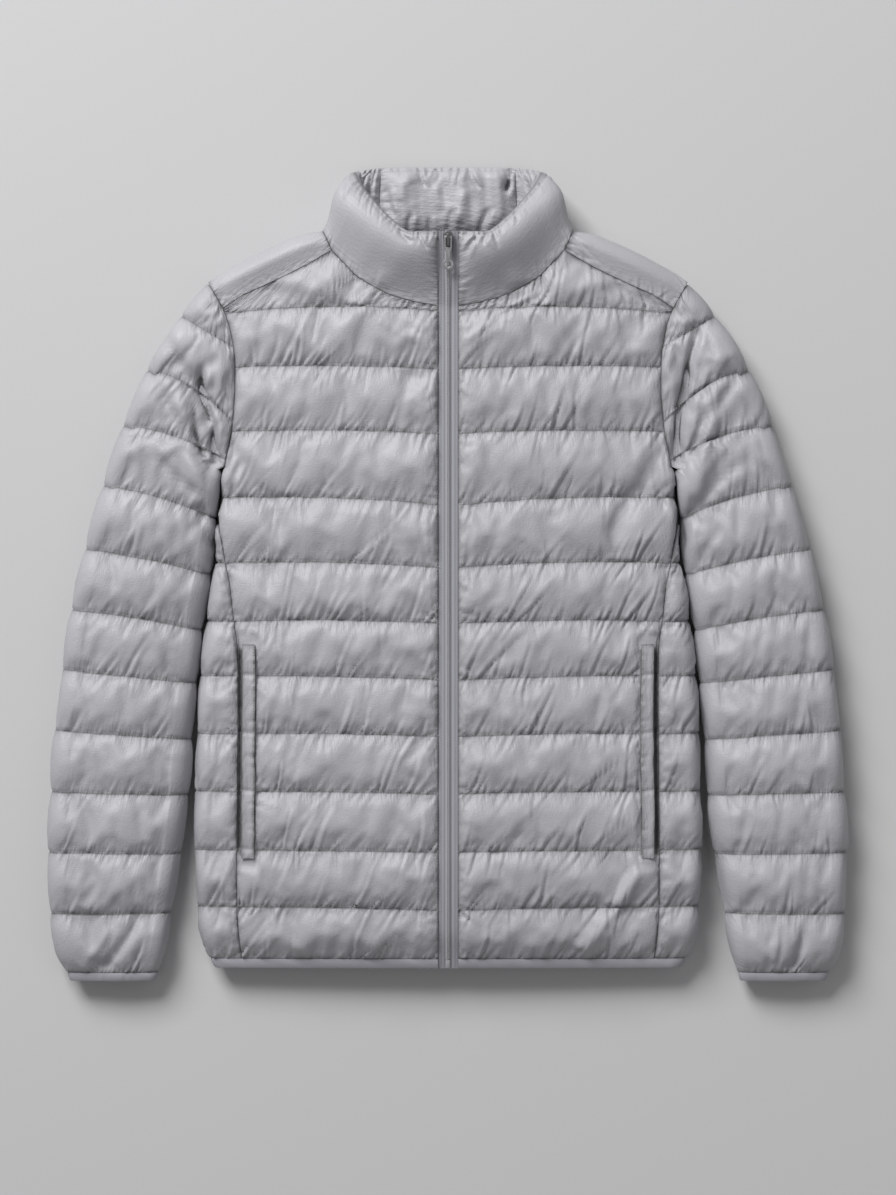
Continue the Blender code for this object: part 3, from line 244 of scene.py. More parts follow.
# Fine detail, finer than the loaded solids
FINE = 2.9                  # distance between rows of points across a channel
BACK_FINE = 6.5             # and the same for the back
FEWEST_ROWS = 8             # across any channel
ROW_GATHER = 0.45           # how much closer together the rows lie at the stitches
QUILT_LOFT = 7.5            # a channel's crown before its filling puffs it up
TUCK_SHADE_REACH = 5.0            # how far from a stitch or seam the painted shade of the cloth's tuck reaches
SEAM_LOFT_SHARE = 0.12      # share of the loft left beside a seam
SEAM_LOFT_REACH = 6.5
FOLD_CLEAR = 6.0            # the large folds end this far from a rim
LEAN = 0.3                  # how far the soft ripples lean over across a channel
CROWN_WAVE = 38.0           # length and height of the waves on a channel's crown
CROWN_HEIGHT = 1.0
PUCKER_WAVE = 8.0           # and of those beside its stitches
PUCKER_HEIGHT = 0.45
PUCKER_REACH = 14.0
ON_STITCH = 0.01            # a point or row this near a stitch line is on it
SIDE_COLUMNS = 25
YOKE_ROWS = 78
YOKE_COLUMNS = 45
COLLAR_SPLIT = 14           # the collar's column where its back part starts
COLLAR_COUNTS = (73, 43, 66)    # points along the neck, over the shoulder and along the back
COLLAR_FINE = 44            # points up a column of the collar
SLEEVE_COUNTS = (40, 9, 14, 7)  # columns over the top, the outside, under and inside
HEM_COUNTS = (70, 19, 61)   # points over the top, round the side and under
WELT_ROWS = 130
WELT_FINE = 11              # points across a welt
TAPE_ROWS = 190
TAPE_COLUMNS = 10
COIL_ROWS = 160
COIL_COLUMNS = 7

# Cloth
CLOTH_FRAMES = 25           # for which it settles
SEWN_FRAME = 10             # by this frame the wide cloth is gathered to its sewn width
CLOTH_CAP = 6.0             # the cloth moves no further than this
STRETCH = 0.03              # extra length along the stitches
GATHER_REACH = 12.0         # distance over which the extra length beside the seams ends
HELD_FACING = -0.35         # cloth that faces down by more than this lies still
STILL = 1e-4                # cloth that moves less than this is held
LOWEST = 0.3                # the cloth stays above this height
CLOTH_SETTINGS = {
    "quality": 5, "mass": 0.3, "air_damping": 1.0,
    "tension_stiffness": 15.0, "compression_stiffness": 15.0, "shear_stiffness": 5.0,
    "bending_stiffness": 2.0, "tension_damping": 5.0, "compression_damping": 5.0,
    "shear_damping": 5.0, "bending_damping": 0.5, "vertex_group_mass": "held",
    "pin_stiffness": 1.0, "vertex_group_shrink": "even", "shrink_min": -0.04, "shrink_max": 0.0,
    "use_pressure": True, "uniform_pressure_force": 4.0, "use_pressure_volume": True,
    "target_volume": 0.0,
}

# Creases: distance between them, shortest and longest reach, depth, width
LOW_CREASES = (8.5, (9.0, 50.0), 2.1, 1.25)
HIGH_CREASES = (9.5, (8.0, 40.0), 1.7, 1.3)
SLEEVE_LOW_CREASES = (14.0, (6.0, 40.0), 1.7, 1.4)
SLEEVE_HIGH_CREASES = (17.0, (6.0, 26.0), 1.3, 1.4)
STITCH_PUCKERS = (3.4, (2.5, 8.0), 0.7, 1.0)
SEAM_CREASES = (6.0, (5.0, 24.0), 1.4, 1.25)
HEM_GATHERS = (5.0, (4.0, 16.0), 0.8, 1.2)
CREASE_LEAN = 0.6           # how far a crease leans aside for each step away from its line
CREASE_SCATTER = 0.28       # and how much that varies
CREASE_BEND = 0.005         # how much creases bend
CREASE_RIDGE = 0.75         # height of the ridge beside a crease, as a share of its depth
FOLD_BOW = 0.06             # how far a narrow fold bows aside, as a share of its length
FOLD_RIDGE = 0.55           # height of the ridge beside it, as a share of its depth
CREASE_SWELL = 17.0         # creases get longer and shorter along a line over this length
RING_CLEAR = 9.0            # creases end this far from where a sleeve's rows begin and end
FOLD_SHADE = 1.25           # how much darker the painted shade on the floor of a deep fold is than at a stitch line
# The same for plain panels: at the two ends of their rows, and at their end rows
YOKE_CREASES = (((6.0, (4.0, 16.0), 0.8, 1.3), (14.0, (4.0, 10.0), 0.5, 1.6)),
                (7.0, (8.0, 36.0), 1.0, 1.5))
COLLAR_CREASES = (((9.0, (6.0, 22.0), 0.8, 1.6), (4.6, (5.0, 22.0), 2.1, 1.3)),
                  (8.0, (6.0, 22.0), 1.1, 1.4))
COLLAR_INSIDE = (((12.0, (6.0, 20.0), 0.8, 1.8), (6.0, (6.0, 28.0), 2.1, 1.6)),
                 (8.0, (6.0, 24.0), 1.2, 1.6))
# Deep narrow folds, in the whole jacket's own places: x and y of each end, half width, rise
SHARP_FOLDS = (
    (-222.0, 184.0, -211.0, 130.0, 3.2, -6.0), (-211.0, 132.0, -207.0, 96.0, 3.2, -6.5),
    (-230.0, 152.0, -215.0, 92.0, 3.6, -3.5), (-226.0, 184.0, -212.0, 100.0, 9.0, -3.5),
    (-255.0, 214.0, -223.0, 168.0, 4.6, -2.4), (-262.0, 172.0, -228.0, 122.0, 4.2, -2.2),
    (-254.7, 128.7, -216.0, 83.7, 4.6, 1.8), (-268.0, 112.0, -218.7, 68.0, 4.2, -2.4),
    (-221.5, 60.0, -212.5, 22.0, 4.0, -3.4), (-240.0, 35.0, -219.0, -8.0, 4.0, -2.0),
    (225.0, 217.0, 213.5, 152.0, 3.2, -5.0), (217.5, 182.0, 207.5, 97.0, 3.3, -6.5),
    (222.0, 190.0, 212.0, 96.0, 9.0, -3.5), (236.0, 150.0, 219.0, 96.0, 3.4, -3.6),
    (240.0, 190.0, 218.0, 130.0, 4.6, 2.0), (262.0, 176.0, 222.0, 104.0, 4.4, -2.6),
    (275.0, 140.0, 225.0, 80.0, 4.6, 1.8), (268.0, 102.0, 222.0, 56.0, 4.4, -2.4),
    (221.0, 58.0, 212.0, 20.0, 4.0, -3.2), (244.0, 40.0, 220.0, -6.0, 4.0, -1.8),
    (-310.0, -355.0, -279.0, -313.0, 3.2, -2.2), (-322.0, -352.0, -300.0, -322.0, 2.8, -1.6),
    (311.0, -355.0, 320.0, -325.0, 3.2, -2.2), (296.0, -354.0, 300.0, -318.0, 2.8, -1.6),
    (174.6, -265.5, 159.3, -297.0, 2.6, 0.9), (159.3, -297.0, 123.0, -344.0, 2.6, 0.9),
    (166.0, -262.0, 146.0, -300.0, 3.0, -1.6), (-21.6, 60.0, -21.0, 20.0, 2.6, -1.2),
    (20.7, 40.0, 21.0, -10.0, 2.6, -1.2), (-186.0, 100.0, -196.0, 60.0, 3.0, -1.8),
    (186.0, 96.0, 197.0, 55.0, 3.0, -1.8), (-175.0, -48.0, -188.0, -66.0, 2.6, -1.8),
    (170.0, -40.0, 190.0, -66.0, 2.6, -1.8), (-26.0, 303.0, -18.0, 288.0, 1.5, -1.8),
    (24.5, 302.0, 12.0, 287.0, 1.7, 1.8), (29.0, 303.0, 17.0, 283.0, 1.6, -1.6),
    (-44.0, 306.0, -33.0, 294.0, 2.0, -2.6), (37.0, 306.0, 31.0, 292.0, 2.0, -2.4),
    (-92.0, 254.0, -20.0, 205.0, 1.8, 1.4), (92.0, 256.0, 16.0, 206.0, 1.8, 1.4),
    (-60.0, 236.0, -14.0, 214.0, 1.8, -1.3), (64.0, 236.0, 12.0, 212.0, 1.8, -1.3),
)
SLIT_WIDTH = 1.8
SLIT_DEPTH = 4.5            # the pocket opens this far under its welt's free edge
GAP_BULGE = 1.5             # how far the sleeve and the body reach across the gap between them
GAP_START_Y = -160.0        # from here up,
GAP_TAPER = 80.0            # growing over this length
GAP_END_Y = UNDERARM_Y + 4.0
GAP_FULLER = 0.35           # share by which it is fuller near the underarm
SLEEVE_DROP = 6.5           # how far a sleeve sinks at its inner side,
SLEEVE_DROP_REACH = 55.0    # less and less until this far out,
SLEEVE_DROP_Y = (-355.0, 90.0)  # between these
SLEEVE_DROP_TAPER = 60.0
COLLAR_FULLNESS = 5.5       # how far the collar bulges out below its top edge
COLLAR_ROLL = 6.5           # how far below its top edge the collar starts to roll over
COLLAR_DROP = 4.6           # and how far the edge rolls down
COLLAR_SIDE_SLACK = 4.5     # how far the collar's sides lie in from the panel's own surface
COLLAR_BULGE = 9.0          # how full the collar is on its inner side
EDGE_SEAM = 3.4             # distance of the seam below the collar's top edge
EDGE_GROOVE = 1.3           # and its depth
# Tucks on the inside of the collar's back: x and y of each end, half width, rise
COLLAR_TUCKS = (
    (-26.0, 369.0, -21.0, 350.0, 1.8, -3.0), (18.0, 369.0, 28.0, 348.0, 1.8, -3.0),
    (-33.0, 326.0, -36.0, 306.0, 2.6, -2.6), (-17.0, 322.0, -14.0, 306.0, 2.4, -2.2),
    (5.0, 330.0, 1.0, 306.0, 3.0, -3.0), (38.0, 330.0, 28.0, 306.0, 3.0, -3.2),
    (52.0, 324.0, 46.0, 306.0, 2.4, -2.2), (-56.0, 350.0, -48.0, 322.0, 2.2, -2.4),
    (70.0, 360.0, 76.0, 342.0, 2.0, -2.6), (-74.0, 358.0, -80.0, 350.0, 2.2, -2.4),
    (-66.5, 369.0, -71.0, 338.0, 2.6, -3.6), (58.0, 369.0, 55.0, 343.0, 2.8, -3.6),
    (58.0, 356.0, 50.0, 345.0, 3.0, -3.0), (-10.0, 352.0, -6.0, 330.0, 4.5, 2.2),
    (14.0, 345.0, 10.0, 318.0, 5.0, 2.4), (-40.0, 356.0, -42.0, 336.0, 5.0, 2.2),
)

# Bindings, zip and stitches
# Share of a binding's width from its seam, how far it stands out there
BINDING_PROUD = ((0.0, 0.15), (0.2, 0.75), (0.5, 0.95), (0.85, 0.8), (1.0, 0.2))
BINDING_LIMIT = 1.6         # and no more than this with its gathers
BINDING_DEPTH = 3.5
# Places of each tape's ridge and groove, and the groove's depth
TAPE_RIBS = {1: (5.2, 3.3, 0.65), -1: (4.4, 5.4, 0.35)}
COIL_HALF = 2.5
COIL_SHOULDER = 1.0         # how far the coil falls away to its edges
COIL_WALL = 2.2
COIL_START_Y = HEM_END_Y + ZIP_END_LENGTH + SEAM_GAP
TOOTH_PITCH = 1.35
TURN_SIZE = (1.0, 0.40, 0.36)   # half sizes of a turn of the coil
# Loaded solid, its fine copy, the radius of its edges, its material and its body
ZIP_HARDWARE = (
    ("zip_end", "zip_end_stop", 0.25, "coil", "jacket"),
    ("zip_slider", "slider", 0.3, "metal_dark", "jacket"),
    ("zip_pull", "pull_tab", 0.3, "metal", "pull"),
)
MERGE_DISTANCE = 1e-6       # in metres
BEVEL_ANGLE = 0.5           # edges sharper than this, in radians, are rounded
STITCH_PITCH = 2.9
STITCH_SIZE = (0.32, 0.32, 0.95)    # half sizes, the last along the line
STITCH_LIFT = 0.12          # above the cloth
EDGE_STITCH_PITCH = 2.4
EDGE_STITCH_SIZE = (0.3, 0.3, 0.8)
EDGE_STITCH_SHARE = 0.4     # place of the edges' stitches between two columns

# Stage, in metres
FLOOR_COLOUR = (0.53, 0.53, 0.534)
CAMERA_HEIGHT = 2.6
CAMERA_Y = -0.02205
CAMERA_FOCUS = 0.035        # height at which the picture is CAMERA_VIEW high
CAMERA_VIEW = 1.0755
SENSOR = 36.0               # in millimetres, as the lens
WORLD_COLOUR = (0.8, 0.8, 0.81, 1.0)
WORLD_LIGHT = 0.33
FLOOR_HALF = 3.0
FLOOR_Z = -0.0004           # just below the jacket
LIGHT_AIM = (0.0, 0.0, 0.02)
# name, place, size, share of the key light's power
LIGHTS = (("key", (-2.0, 3.4, 3.1), 2.3, 1.0), ("fill", (1.4, -0.6, 1.8), 1.6, 0.01))


# Reading the tables

def mix(start, end, share):
    """The value that lies a share of the way from start to end."""
    return start + (end - start) * share


def clip01(value):
    """Keep a value between 0 and 1."""
    return np.clip(value, 0.0, 1.0)


def ramp(value, start, length):
    """A share that rises from 0 at the start to 1 a length further on."""
    return clip01((value - start) / length)


def between(value, low, high, taper):
    """A share that is 1 between two places and falls to 0 at them over a length."""
    return ramp(value, low, taper) * clip01((high - value) / taper)


def bell(off, width):
    """A soft bump that is 1 in its middle."""
    return np.exp(-(off / width) ** 2)


def curve(rows, at, column=1):
    """Read a table as a smooth curve that never overshoots its rows."""
    table = np.array(rows, float)
    spots = table[:, 0]
    values = table[:, column]
    at = np.clip(np.asarray(at, float), spots[0], spots[-1])
    slopes = np.diff(values) / np.diff(spots)
    tangents = np.zeros(len(rows))
    tangents[0] = slopes[0]
    tangents[-1] = slopes[-1]
    before = slopes[:-1]
    after = slopes[1:]
    same = before * after > 0.0
    tangents[1:-1][same] = (2.0 * before * after / np.where(same, before + after, 1.0))[same]
    piece = np.clip(np.searchsorted(spots, at, side="right") - 1, 0, len(rows) - 2)
    width = spots[piece + 1] - spots[piece]
    t = (at - spots[piece]) / width
    start = values[piece] * (1 + 2 * t) * (1 - t) ** 2 + tangents[piece] * width * t * (1 - t) ** 2
    end = values[piece + 1] * t * t * (3 - 2 * t)
    return start + end - tangents[piece + 1] * width * t * t * (1 - t)


def through(points, at):
    """A smooth line through points, read at whole and broken point numbers."""
    points = np.asarray(points, float)
    padded = np.vstack([2 * points[0] - points[1], points, 2 * points[-1] - points[-2]])
    at = np.clip(np.asarray(at, float), 0.0, len(points) - 1)
    piece = np.minimum(at.astype(int), len(points) - 2)
    t = (at - piece)[..., None]
    a, b, c, d = (padded[piece + n] for n in range(4))
    return 0.5 * (2 * b + (c - a) * t + (2 * a - 5 * b + 4 * c - d) * t * t
                  + (3 * b - a - 3 * c + d) * t ** 3)


def lengths_along(points):
    """Length from the first point of a line to each of its points."""
    steps = np.linalg.norm(np.diff(points, axis=0), axis=1)
    return np.concatenate([[0.0], np.cumsum(steps)])


def facing_up(count):
    """Normals that face up."""
    return np.tile((0.0, 0.0, 1.0), (count, 1))


def ripple(along, seed, wavelength):
    """Soft uneven noise from -1 to 1 along a line; each seed is a line of its own."""
    lattice = np.random.default_rng(seed).uniform(-1.0, 1.0, RIPPLE_CELLS + 2)
    spot = np.asarray(along, float) / wavelength + RIPPLE_START
    cell = np.floor(spot).astype(int) % RIPPLE_CELLS
    t = spot - np.floor(spot)
    t = t * t * (3 - 2 * t)
    return lattice[cell] * (1 - t) + lattice[cell + 1] * t


# The pinched surface of the body, which the stitches hold down

def body_half_width(y):
    """Half the body's width on its widest line, under the side's loft."""
    return curve(BODY_EDGE, y) - SIDE_LOFT


def armhole(y):
    """Distance of the armhole's seam from the centre."""
    corner_y, corner_x = ARMHOLE[-1]
    edge_x, edge_y = YOKE[-1][2:]
    past = corner_x + (edge_x - corner_x) * (np.asarray(y) - corner_y) / (edge_y - corner_y)
    return np.where(np.asarray(y) <= corner_y, curve(ARMHOLE, y), past)


def top_half_width(y):
    """Half the width of the body's top, between the roundings or the armholes."""
    y = np.asarray(y, float)
    low = body_half_width(y) - curve(SIDE_ROUND, y)
    return np.where(y > UNDERARM_Y, armhole(np.minimum(y, YOKE[-1][3])), low)


def body_top(x, y):
    """Pinched height of the body's top."""
    share = np.minimum(1.0, x / top_half_width(y))
    return curve(BODY_HEIGHT, y) + curve(BODY_HEIGHT, y, 2) * (1.0 - share * share)


def top_wall(y):
    """Depth of the top's wall, thinner towards the hem."""
    return mix(EDGE_WALL, TOP_WALL, ramp(y, HEM_Y, HEM_TAPER))


def under_wall(y):
    """Depth of the underside's wall, thinner towards the hem and the neck."""
    under = mix(EDGE_WALL, UNDER_WALL, ramp(y, HEM_Y, UNDER_HEM_TAPER))
    return mix(under, COLLAR_WALL, ramp(y, NECK_TAPER[0], NECK_TAPER[1] - NECK_TAPER[0]))


def round_point(centre_x, centre_y, reach_x, reach_y, top, turn):
    """Points and normals on a rounded side: turn runs from 0, up, to 1, down."""
    angle = np.asarray(turn, float) * math.pi
    top = np.broadcast_to(top, angle.shape)
    rise = np.where(angle < math.pi / 2, top - MID_HEIGHT, MID_HEIGHT - UNDER_PINCH)
    length = np.maximum(np.hypot(reach_x, reach_y), CLOSE)
    point = np.stack([centre_x + reach_x * np.sin(angle), centre_y + reach_y * np.sin(angle),
                      MID_HEIGHT + rise * np.cos(angle)], -1)
    normal = np.stack([reach_x / length * np.sin(angle), reach_y / length * np.sin(angle),
                       np.cos(angle)], -1)
    return point, normal


def body_point(girth, y):
    """Points and normals of the body at lengths round from the centre front."""
    girth = np.asarray(girth, float)
    y = np.broadcast_to(np.asarray(y, float), girth.shape)
    edge = top_half_width(y)
    reach = curve(SIDE_ROUND, y)
    turn = np.clip((girth - edge) / SIDE_GIRTH, 0.0, 1.0)
    point, normal = round_point(edge, y, reach, 0.0 * reach, curve(BODY_HEIGHT, y), turn)
    on_top = girth <= edge
    under = girth - edge > SIDE_GIRTH
    point[..., 0] = np.where(on_top, girth, point[..., 0])
    point[..., 0] = np.where(under, 2 * edge + SIDE_GIRTH - girth, point[..., 0])
    point[..., 2] = np.where(on_top, body_top(girth, y), point[..., 2])
    point[..., 2] = np.where(under, UNDER_PINCH, point[..., 2])
    return point, normal


def body_depth(normal, y):
    """Wall depth of the body by where its surface faces."""
    share = clip01(-normal[..., 2])
    return mix(top_wall(y), under_wall(y), share * share)


def girth_at(x, y):
    """Length round the body of a place on its top or on the upper half of its side."""
    edge = top_half_width(y)
    share = np.clip((x - edge) / curve(SIDE_ROUND, y), 0.0, 1.0)
    return np.where(x <= edge, x, edge + SIDE_GIRTH * np.arcsin(share) / math.pi)


def channel_shape(step):
    """Share of the loft across a channel, from one stitch line to the next."""
    return 1.0 - np.abs(2.0 * step - 1.0) ** CHANNEL_POWER


def facing_loft(normal, width, loft):
    """Loft of a channel's crown by where it faces."""
    share = clip01(normal[..., 2]) ** LOFT_FALL
    return mix(SIDE_LOFT, loft * np.minimum(1.0, width / FULL_CHANNEL), share)


def front_line(line, share):
    """y of a front stitch line at a share of the width from the zip."""
    outer, middle, at_zip = FRONT_LINES[line]
    bend = 2.0 * (at_zip + outer) - 4.0 * middle
    return at_zip + (outer - at_zip) * share + bend * share * (share - 1.0)


def front_outer(y):
    """Distance of the front's outer edge from the centre."""
    y = np.asarray(y, float)
    low = np.where(y > SIDE_SEAM_TURN_Y, body_half_width(y),
                   np.minimum(curve(SIDE_SEAM, y), body_half_width(y)))
    return np.where(y > UNDERARM_Y, armhole(y), low)


def fold_rise(x, y):
    """Rise or fall of the large folds at points of the top."""
    total = np.zeros_like(x)
    for x0, y0, x1, y1, half_width, rise in FOLDS:
        run_x = x1 - x0
        run_y = y1 - y0
        share = clip01(((x - x0) * run_x + (y - y0) * run_y) / (run_x ** 2 + run_y ** 2))
        off = np.hypot(x - x0 - share * run_x, y - y0 - share * run_y)
        total += rise * bell(off, half_width)
    return total


def channel_steps(count):
    """Steps across a channel, closer together at its stitches."""
    even = np.linspace(0.0, 1.0, count + 1)
    return mix(even, 0.5 - 0.5 * np.cos(math.pi * even), ROW_GATHER)[:-1]


def quilt_rows(lines, spacing):
    """Channel number and step of every row of a quilted panel."""
    rows = []
    for channel, (upper, lower) in enumerate(zip(lines, lines[1:])):
        count = max(FEWEST_ROWS, int(round(abs(upper - lower) / spacing)))
        rows += [(channel, step) for step in channel_steps(count)]
    return rows + [(len(lines) - 2, 1.0)]


# Panels

class Panel:
    """A sewn panel: rows of points on its pinched surface, each with a normal, loft and depth."""

    def __init__(self, name, side=1):
        self.name = name
        self.side = side
        self.flip = np.array([side, 1.0, 1.0])
        self.rows = []

    def add_row(self, points, normals, loft, depth, width=FAR, step=0.5, channel=0, ring=False):
        """Add a row. Width and step place it in its channel; a ring's last point is its first."""
        count = len(points)
        self.rows.append({
            "points": np.asarray(points, float), "normals": np.asarray(normals, float),
            "loft": np.broadcast_to(loft, (count,)), "depth": np.broadcast_to(depth, (count,)),
            "width": np.broadcast_to(width, (count,)), "step": step, "channel": channel,
            "along": lengths_along(points), "ring": ring,
        })

    def close(self, columns, measure=True):
        """Number the points and make the faces; short rows miss their last columns."""
        counts = [len(row["points"]) - row["ring"] for row in self.rows]
        self.grid = -np.ones((len(self.rows), columns), int)
        start = 0
        for number, count in enumerate(counts):
            self.grid[number, :count] = np.arange(start, start + count)
            if self.rows[number]["ring"]:
                self.grid[number, count] = start
            start += count
        for key in ("points", "normals", "loft", "depth", "width", "along"):
            parts = [row[key][:count] for row, count in zip(self.rows, counts)]
            setattr(self, key, np.concatenate(parts))
        for key in ("step", "channel", "ring"):
            setattr(self, key, np.repeat([row[key] for row in self.rows], counts))
        middle = np.array([row["points"][len(row["points"]) // 2] for row in self.rows])
        row_place = lengths_along(middle)
        self.row_of = np.repeat(np.arange(len(self.rows)), counts)
        self.across = row_place[self.row_of]
        self.span = float(row_place[-1])
        self.ends = np.repeat([row["along"][-1] for row in self.rows], counts)
        flat = np.zeros((len(self.rows), columns, 2))
        flat[..., 1] = row_place[:, None]
        for number, row in enumerate(self.rows):
            flat[number, :len(row["along"]), 0] = row["along"]
        faces = quads(self.grid).reshape(-1, 4)
        whole = (faces >= 0).all(axis=1)
        faces = faces[whole]
        corners = quads(flat).reshape(-1, 4, 2)[whole]
        corner = self.points[faces]
        facing = np.cross(corner[:, 2] - corner[:, 0], corner[:, 3] - corner[:, 1])
        if np.sum(facing * self.normals[faces[:, 0]]) < 0.0:
            faces = faces[:, ::-1]
            corners = corners[:, ::-1]
        self.faces = faces
        self.flat_corners = corners
        self.rim = rim_edges(faces)
        self.on_rim = np.zeros(len(self.points), bool)
        self.on_rim[self.rim.ravel()] = True
        self.to_stitch = self.width * np.minimum(self.step, 1.0 - self.step)
        if measure:
            self.find_rim_distance()
        return self

    def find_rim_distance(self):
        """Distance of each point to the panel's own rim, found block by block."""
        rim = self.points[self.on_rim]
        self.to_rim = np.full(len(self.points), FAR)
        for start in range(0, len(self.points), POINT_BLOCK):
            block = self.points[start:start + POINT_BLOCK]
            nearest = self.to_rim[start:start + POINT_BLOCK]
            for part in range(0, len(rim), RIM_BLOCK):
                gap = np.linalg.norm(block[:, None] - rim[None, part:part + RIM_BLOCK], axis=2)
                np.minimum(nearest, gap.min(axis=1), out=nearest)

    def places(self, number):
        """The numbers of a row's points; a ring's first point is also its last."""
        row = self.grid[number]
        return row[row >= 0]

    def seed(self, start, letters, right):
        """A seed of the panel's own, by its name's length and its side."""
        return start + letters * len(self.name) + (0 if self.side > 0 else right)

    def lifted(self, points, height):
        """The panel's points, moved out along its normals."""
        return points + self.normals * height[:, None]

    def folds(self, points, table=SHARP_FOLDS):
        """Rise or fall of the narrow folds at points of the panel."""
        return sharp_folds(self.side * points[:, 0], points[:, 1], table)

    def refined(self, outer):
        """The same panel with twice as many columns, and its outer points."""
        fine = Panel(self.name, self.side)
        shown = []
        gaps = []
        for number, row in enumerate(self.rows):
            places = self.places(number)
            count = 2 * len(places) - 1
            ring = row["ring"]
            normals, loft, depth, width = (halved(row[key]) for key in
                                           ("normals", "loft", "depth", "width"))
            normals /= np.linalg.norm(normals, axis=1)[:, None]
            fine.add_row(through(row["points"], np.arange(count) / 2.0), normals, loft, depth,
                         width, row["step"], row["channel"], ring)
            shown.append(smooth_between(outer[places], ring)[:count - ring])
            gaps.append(halved(self.to_rim[places])[:count - ring])
        fine.close(2 * self.grid.shape[1] - 1, measure=False)
        fine.to_rim = np.concatenate(gaps)
        return fine, np.concatenate(shown)

    def rise(self):
        """The outer points before the filling puffs them up."""
        ease = 1.0 - (1.0 - SEAM_LOFT_SHARE) * np.exp(-self.to_rim / SEAM_LOFT_REACH)
        upward = clip01(self.normals[:, 2] * 2.0)
        folds = fold_rise(self.side * self.points[:, 0], self.points[:, 1])
        height = self.loft * ease + folds * upward * clip01(self.to_rim / FOLD_CLEAR)
        lean = self.along + LEAN * self.width * (0.5 - self.step)
        seeds = self.seed(self.channel * 7, 97, 1000)
        waves = np.zeros(len(height))
        for seed in np.unique(seeds):
            pick = seeds == seed
            far = CROWN_HEIGHT * ripple(lean[pick], seed, CROWN_WAVE)
            near = PUCKER_HEIGHT * ripple(lean[pick], seed + 3, PUCKER_WAVE)
            waves[pick] = far * channel_shape(self.step[pick]) \
                + near * np.exp(-self.to_stitch[pick] / PUCKER_REACH)
        facing = clip01(self.normals[:, 2] + 0.6)
        height = height + waves * facing * clip01(self.to_stitch / 2.0) * clip01(self.to_rim / 3.0)
        return self.lifted(self.points, height)


def quads(grid):
    """The four corners of every cell of a grid."""
    return np.stack([grid[:-1, :-1], grid[:-1, 1:], grid[1:, 1:], grid[1:, :-1]], 2)


def halved(values):
    """Values with one more between each two."""
    values = np.asarray(values, float)
    out = np.empty((2 * len(values) - 1, *values.shape[1:]))
    out[::2] = values
    out[1::2] = (values[:-1] + values[1:]) / 2.0
    return out


def smooth_between(points, ring):
    """Points with one more between each two, on a smooth line; a ring's line runs on."""
    if not ring:
        return through(points, np.arange(2 * len(points) - 1) / 2.0)
    closed = np.concatenate([points[-3:-1], points, points[1:3]])
    line = through(closed, np.arange(2 * len(closed) - 1) / 2.0)
    return line[4:-4]


def rim_edges(faces):
    """The edges that only one face has, in that face's order."""
    edges = np.concatenate([faces[:, [0, 1]], faces[:, [1, 2]], faces[:, [2, 3]], faces[:, [3, 0]]])
    key = np.sort(edges, axis=1)
    _, first, count = np.unique(key, axis=0, return_index=True, return_counts=True)
    return edges[first[count == 1]]


def seam_shift(panel, outer):
    """Move the rim in by half a seam's gap."""
    centre = outer[panel.faces].mean(axis=1)
    inward = np.zeros_like(outer)
    lookup = {tuple(sorted(edge)): edge for edge in map(tuple, panel.rim)}
    for place, face in enumerate(panel.faces):
        if not panel.on_rim[face].any():
            continue
        for here, there in zip(face, np.roll(face, -1)):
            if tuple(sorted((here, there))) in lookup:
                along = outer[there] - outer[here]
                along = along / max(np.linalg.norm(along), TINY)
                across = centre[place] - outer[here]
                across = across - along * across.dot(along)
                across = across / max(np.linalg.norm(across), TINY)
                inward[here] += across
                inward[there] += across
    length = np.maximum(np.linalg.norm(inward, axis=1), TINY)
    moved = inward / length[:, None] * (SEAM_GAP / 2)
    return np.where(panel.on_rim[:, None], moved, 0.0)


# Making each panel's points

def column_places(steps):
    """Broken column numbers, with a number of fine columns in each interval of the table."""
    parts = [np.linspace(n, n + 1, count + 1)[:-1] for n, count in enumerate(steps)]
    return np.concatenate(parts + [[float(len(steps))]])


FRONT_COLUMNS = column_places((8, 8, 8, 7, 7, 9, 9, 6, 4))
BACK_COLUMNS = column_places((4, 4, 4, 4, 3, 5, 6, 5, 5))


def top_boundary(at):
    """x and y of the front's top edge at broken column numbers: neck seam, then yoke seam."""
    corner = len(NECK_SEAM) - 1
    neck = through(NECK_SEAM, np.minimum(at, corner))
    yoke = through([row[:2] for row in YOKE], np.maximum(at - corner, 0.0))
    return np.where((at <= corner)[:, None], neck, yoke)


def fanned(y):
    """How far the columns have fanned out to the neck's and yoke's points here."""
    return ramp(y, COLUMN_BLEND[0], COLUMN_BLEND[1] - COLUMN_BLEND[0])


def front_share(y, at):
    """Share of the front's width at broken column numbers."""
    edge_x = top_boundary(at)[:, 0]
    pocket = np.interp(at, range(len(POCKET_COLUMNS)), POCKET_COLUMNS)
    return mix(pocket, (edge_x - ZIP_HALF) / (YOKE[-1][0] - ZIP_HALF), fanned(y))


def front_place(channel, step, at):
    """x, y and channel width along one row of the front."""
    if channel == 0:
        edge = top_boundary(at)
        share = front_share(LINE_Y[0], at)
        lower_x = mix(ZIP_HALF, front_outer(LINE_Y[0]), share)
        lower_y = front_line(0, share)
        return (mix(edge[:, 0], lower_x, step), mix(edge[:, 1], lower_y, step),
                edge[:, 1] - lower_y)
    outer_y = mix(LINE_Y[channel - 1], LINE_Y[channel], step)
    share = front_share(outer_y, at)
    upper = front_line(channel - 1, share)
    lower = front_line(channel, share)
    return mix(ZIP_HALF, front_outer(outer_y), share), mix(upper, lower, step), upper - lower


def under_welt(y):
    """How much the front is flattened here to carry the pocket's welt."""
    low = WELT_BOTTOM_Y - WELT_SEAT_MARGIN
    high = WELT_TOP_Y + WELT_SEAT_MARGIN
    return clip01((y - low) / 4.0 + 0.5) * clip01((high - y) / 4.0 + 0.5)


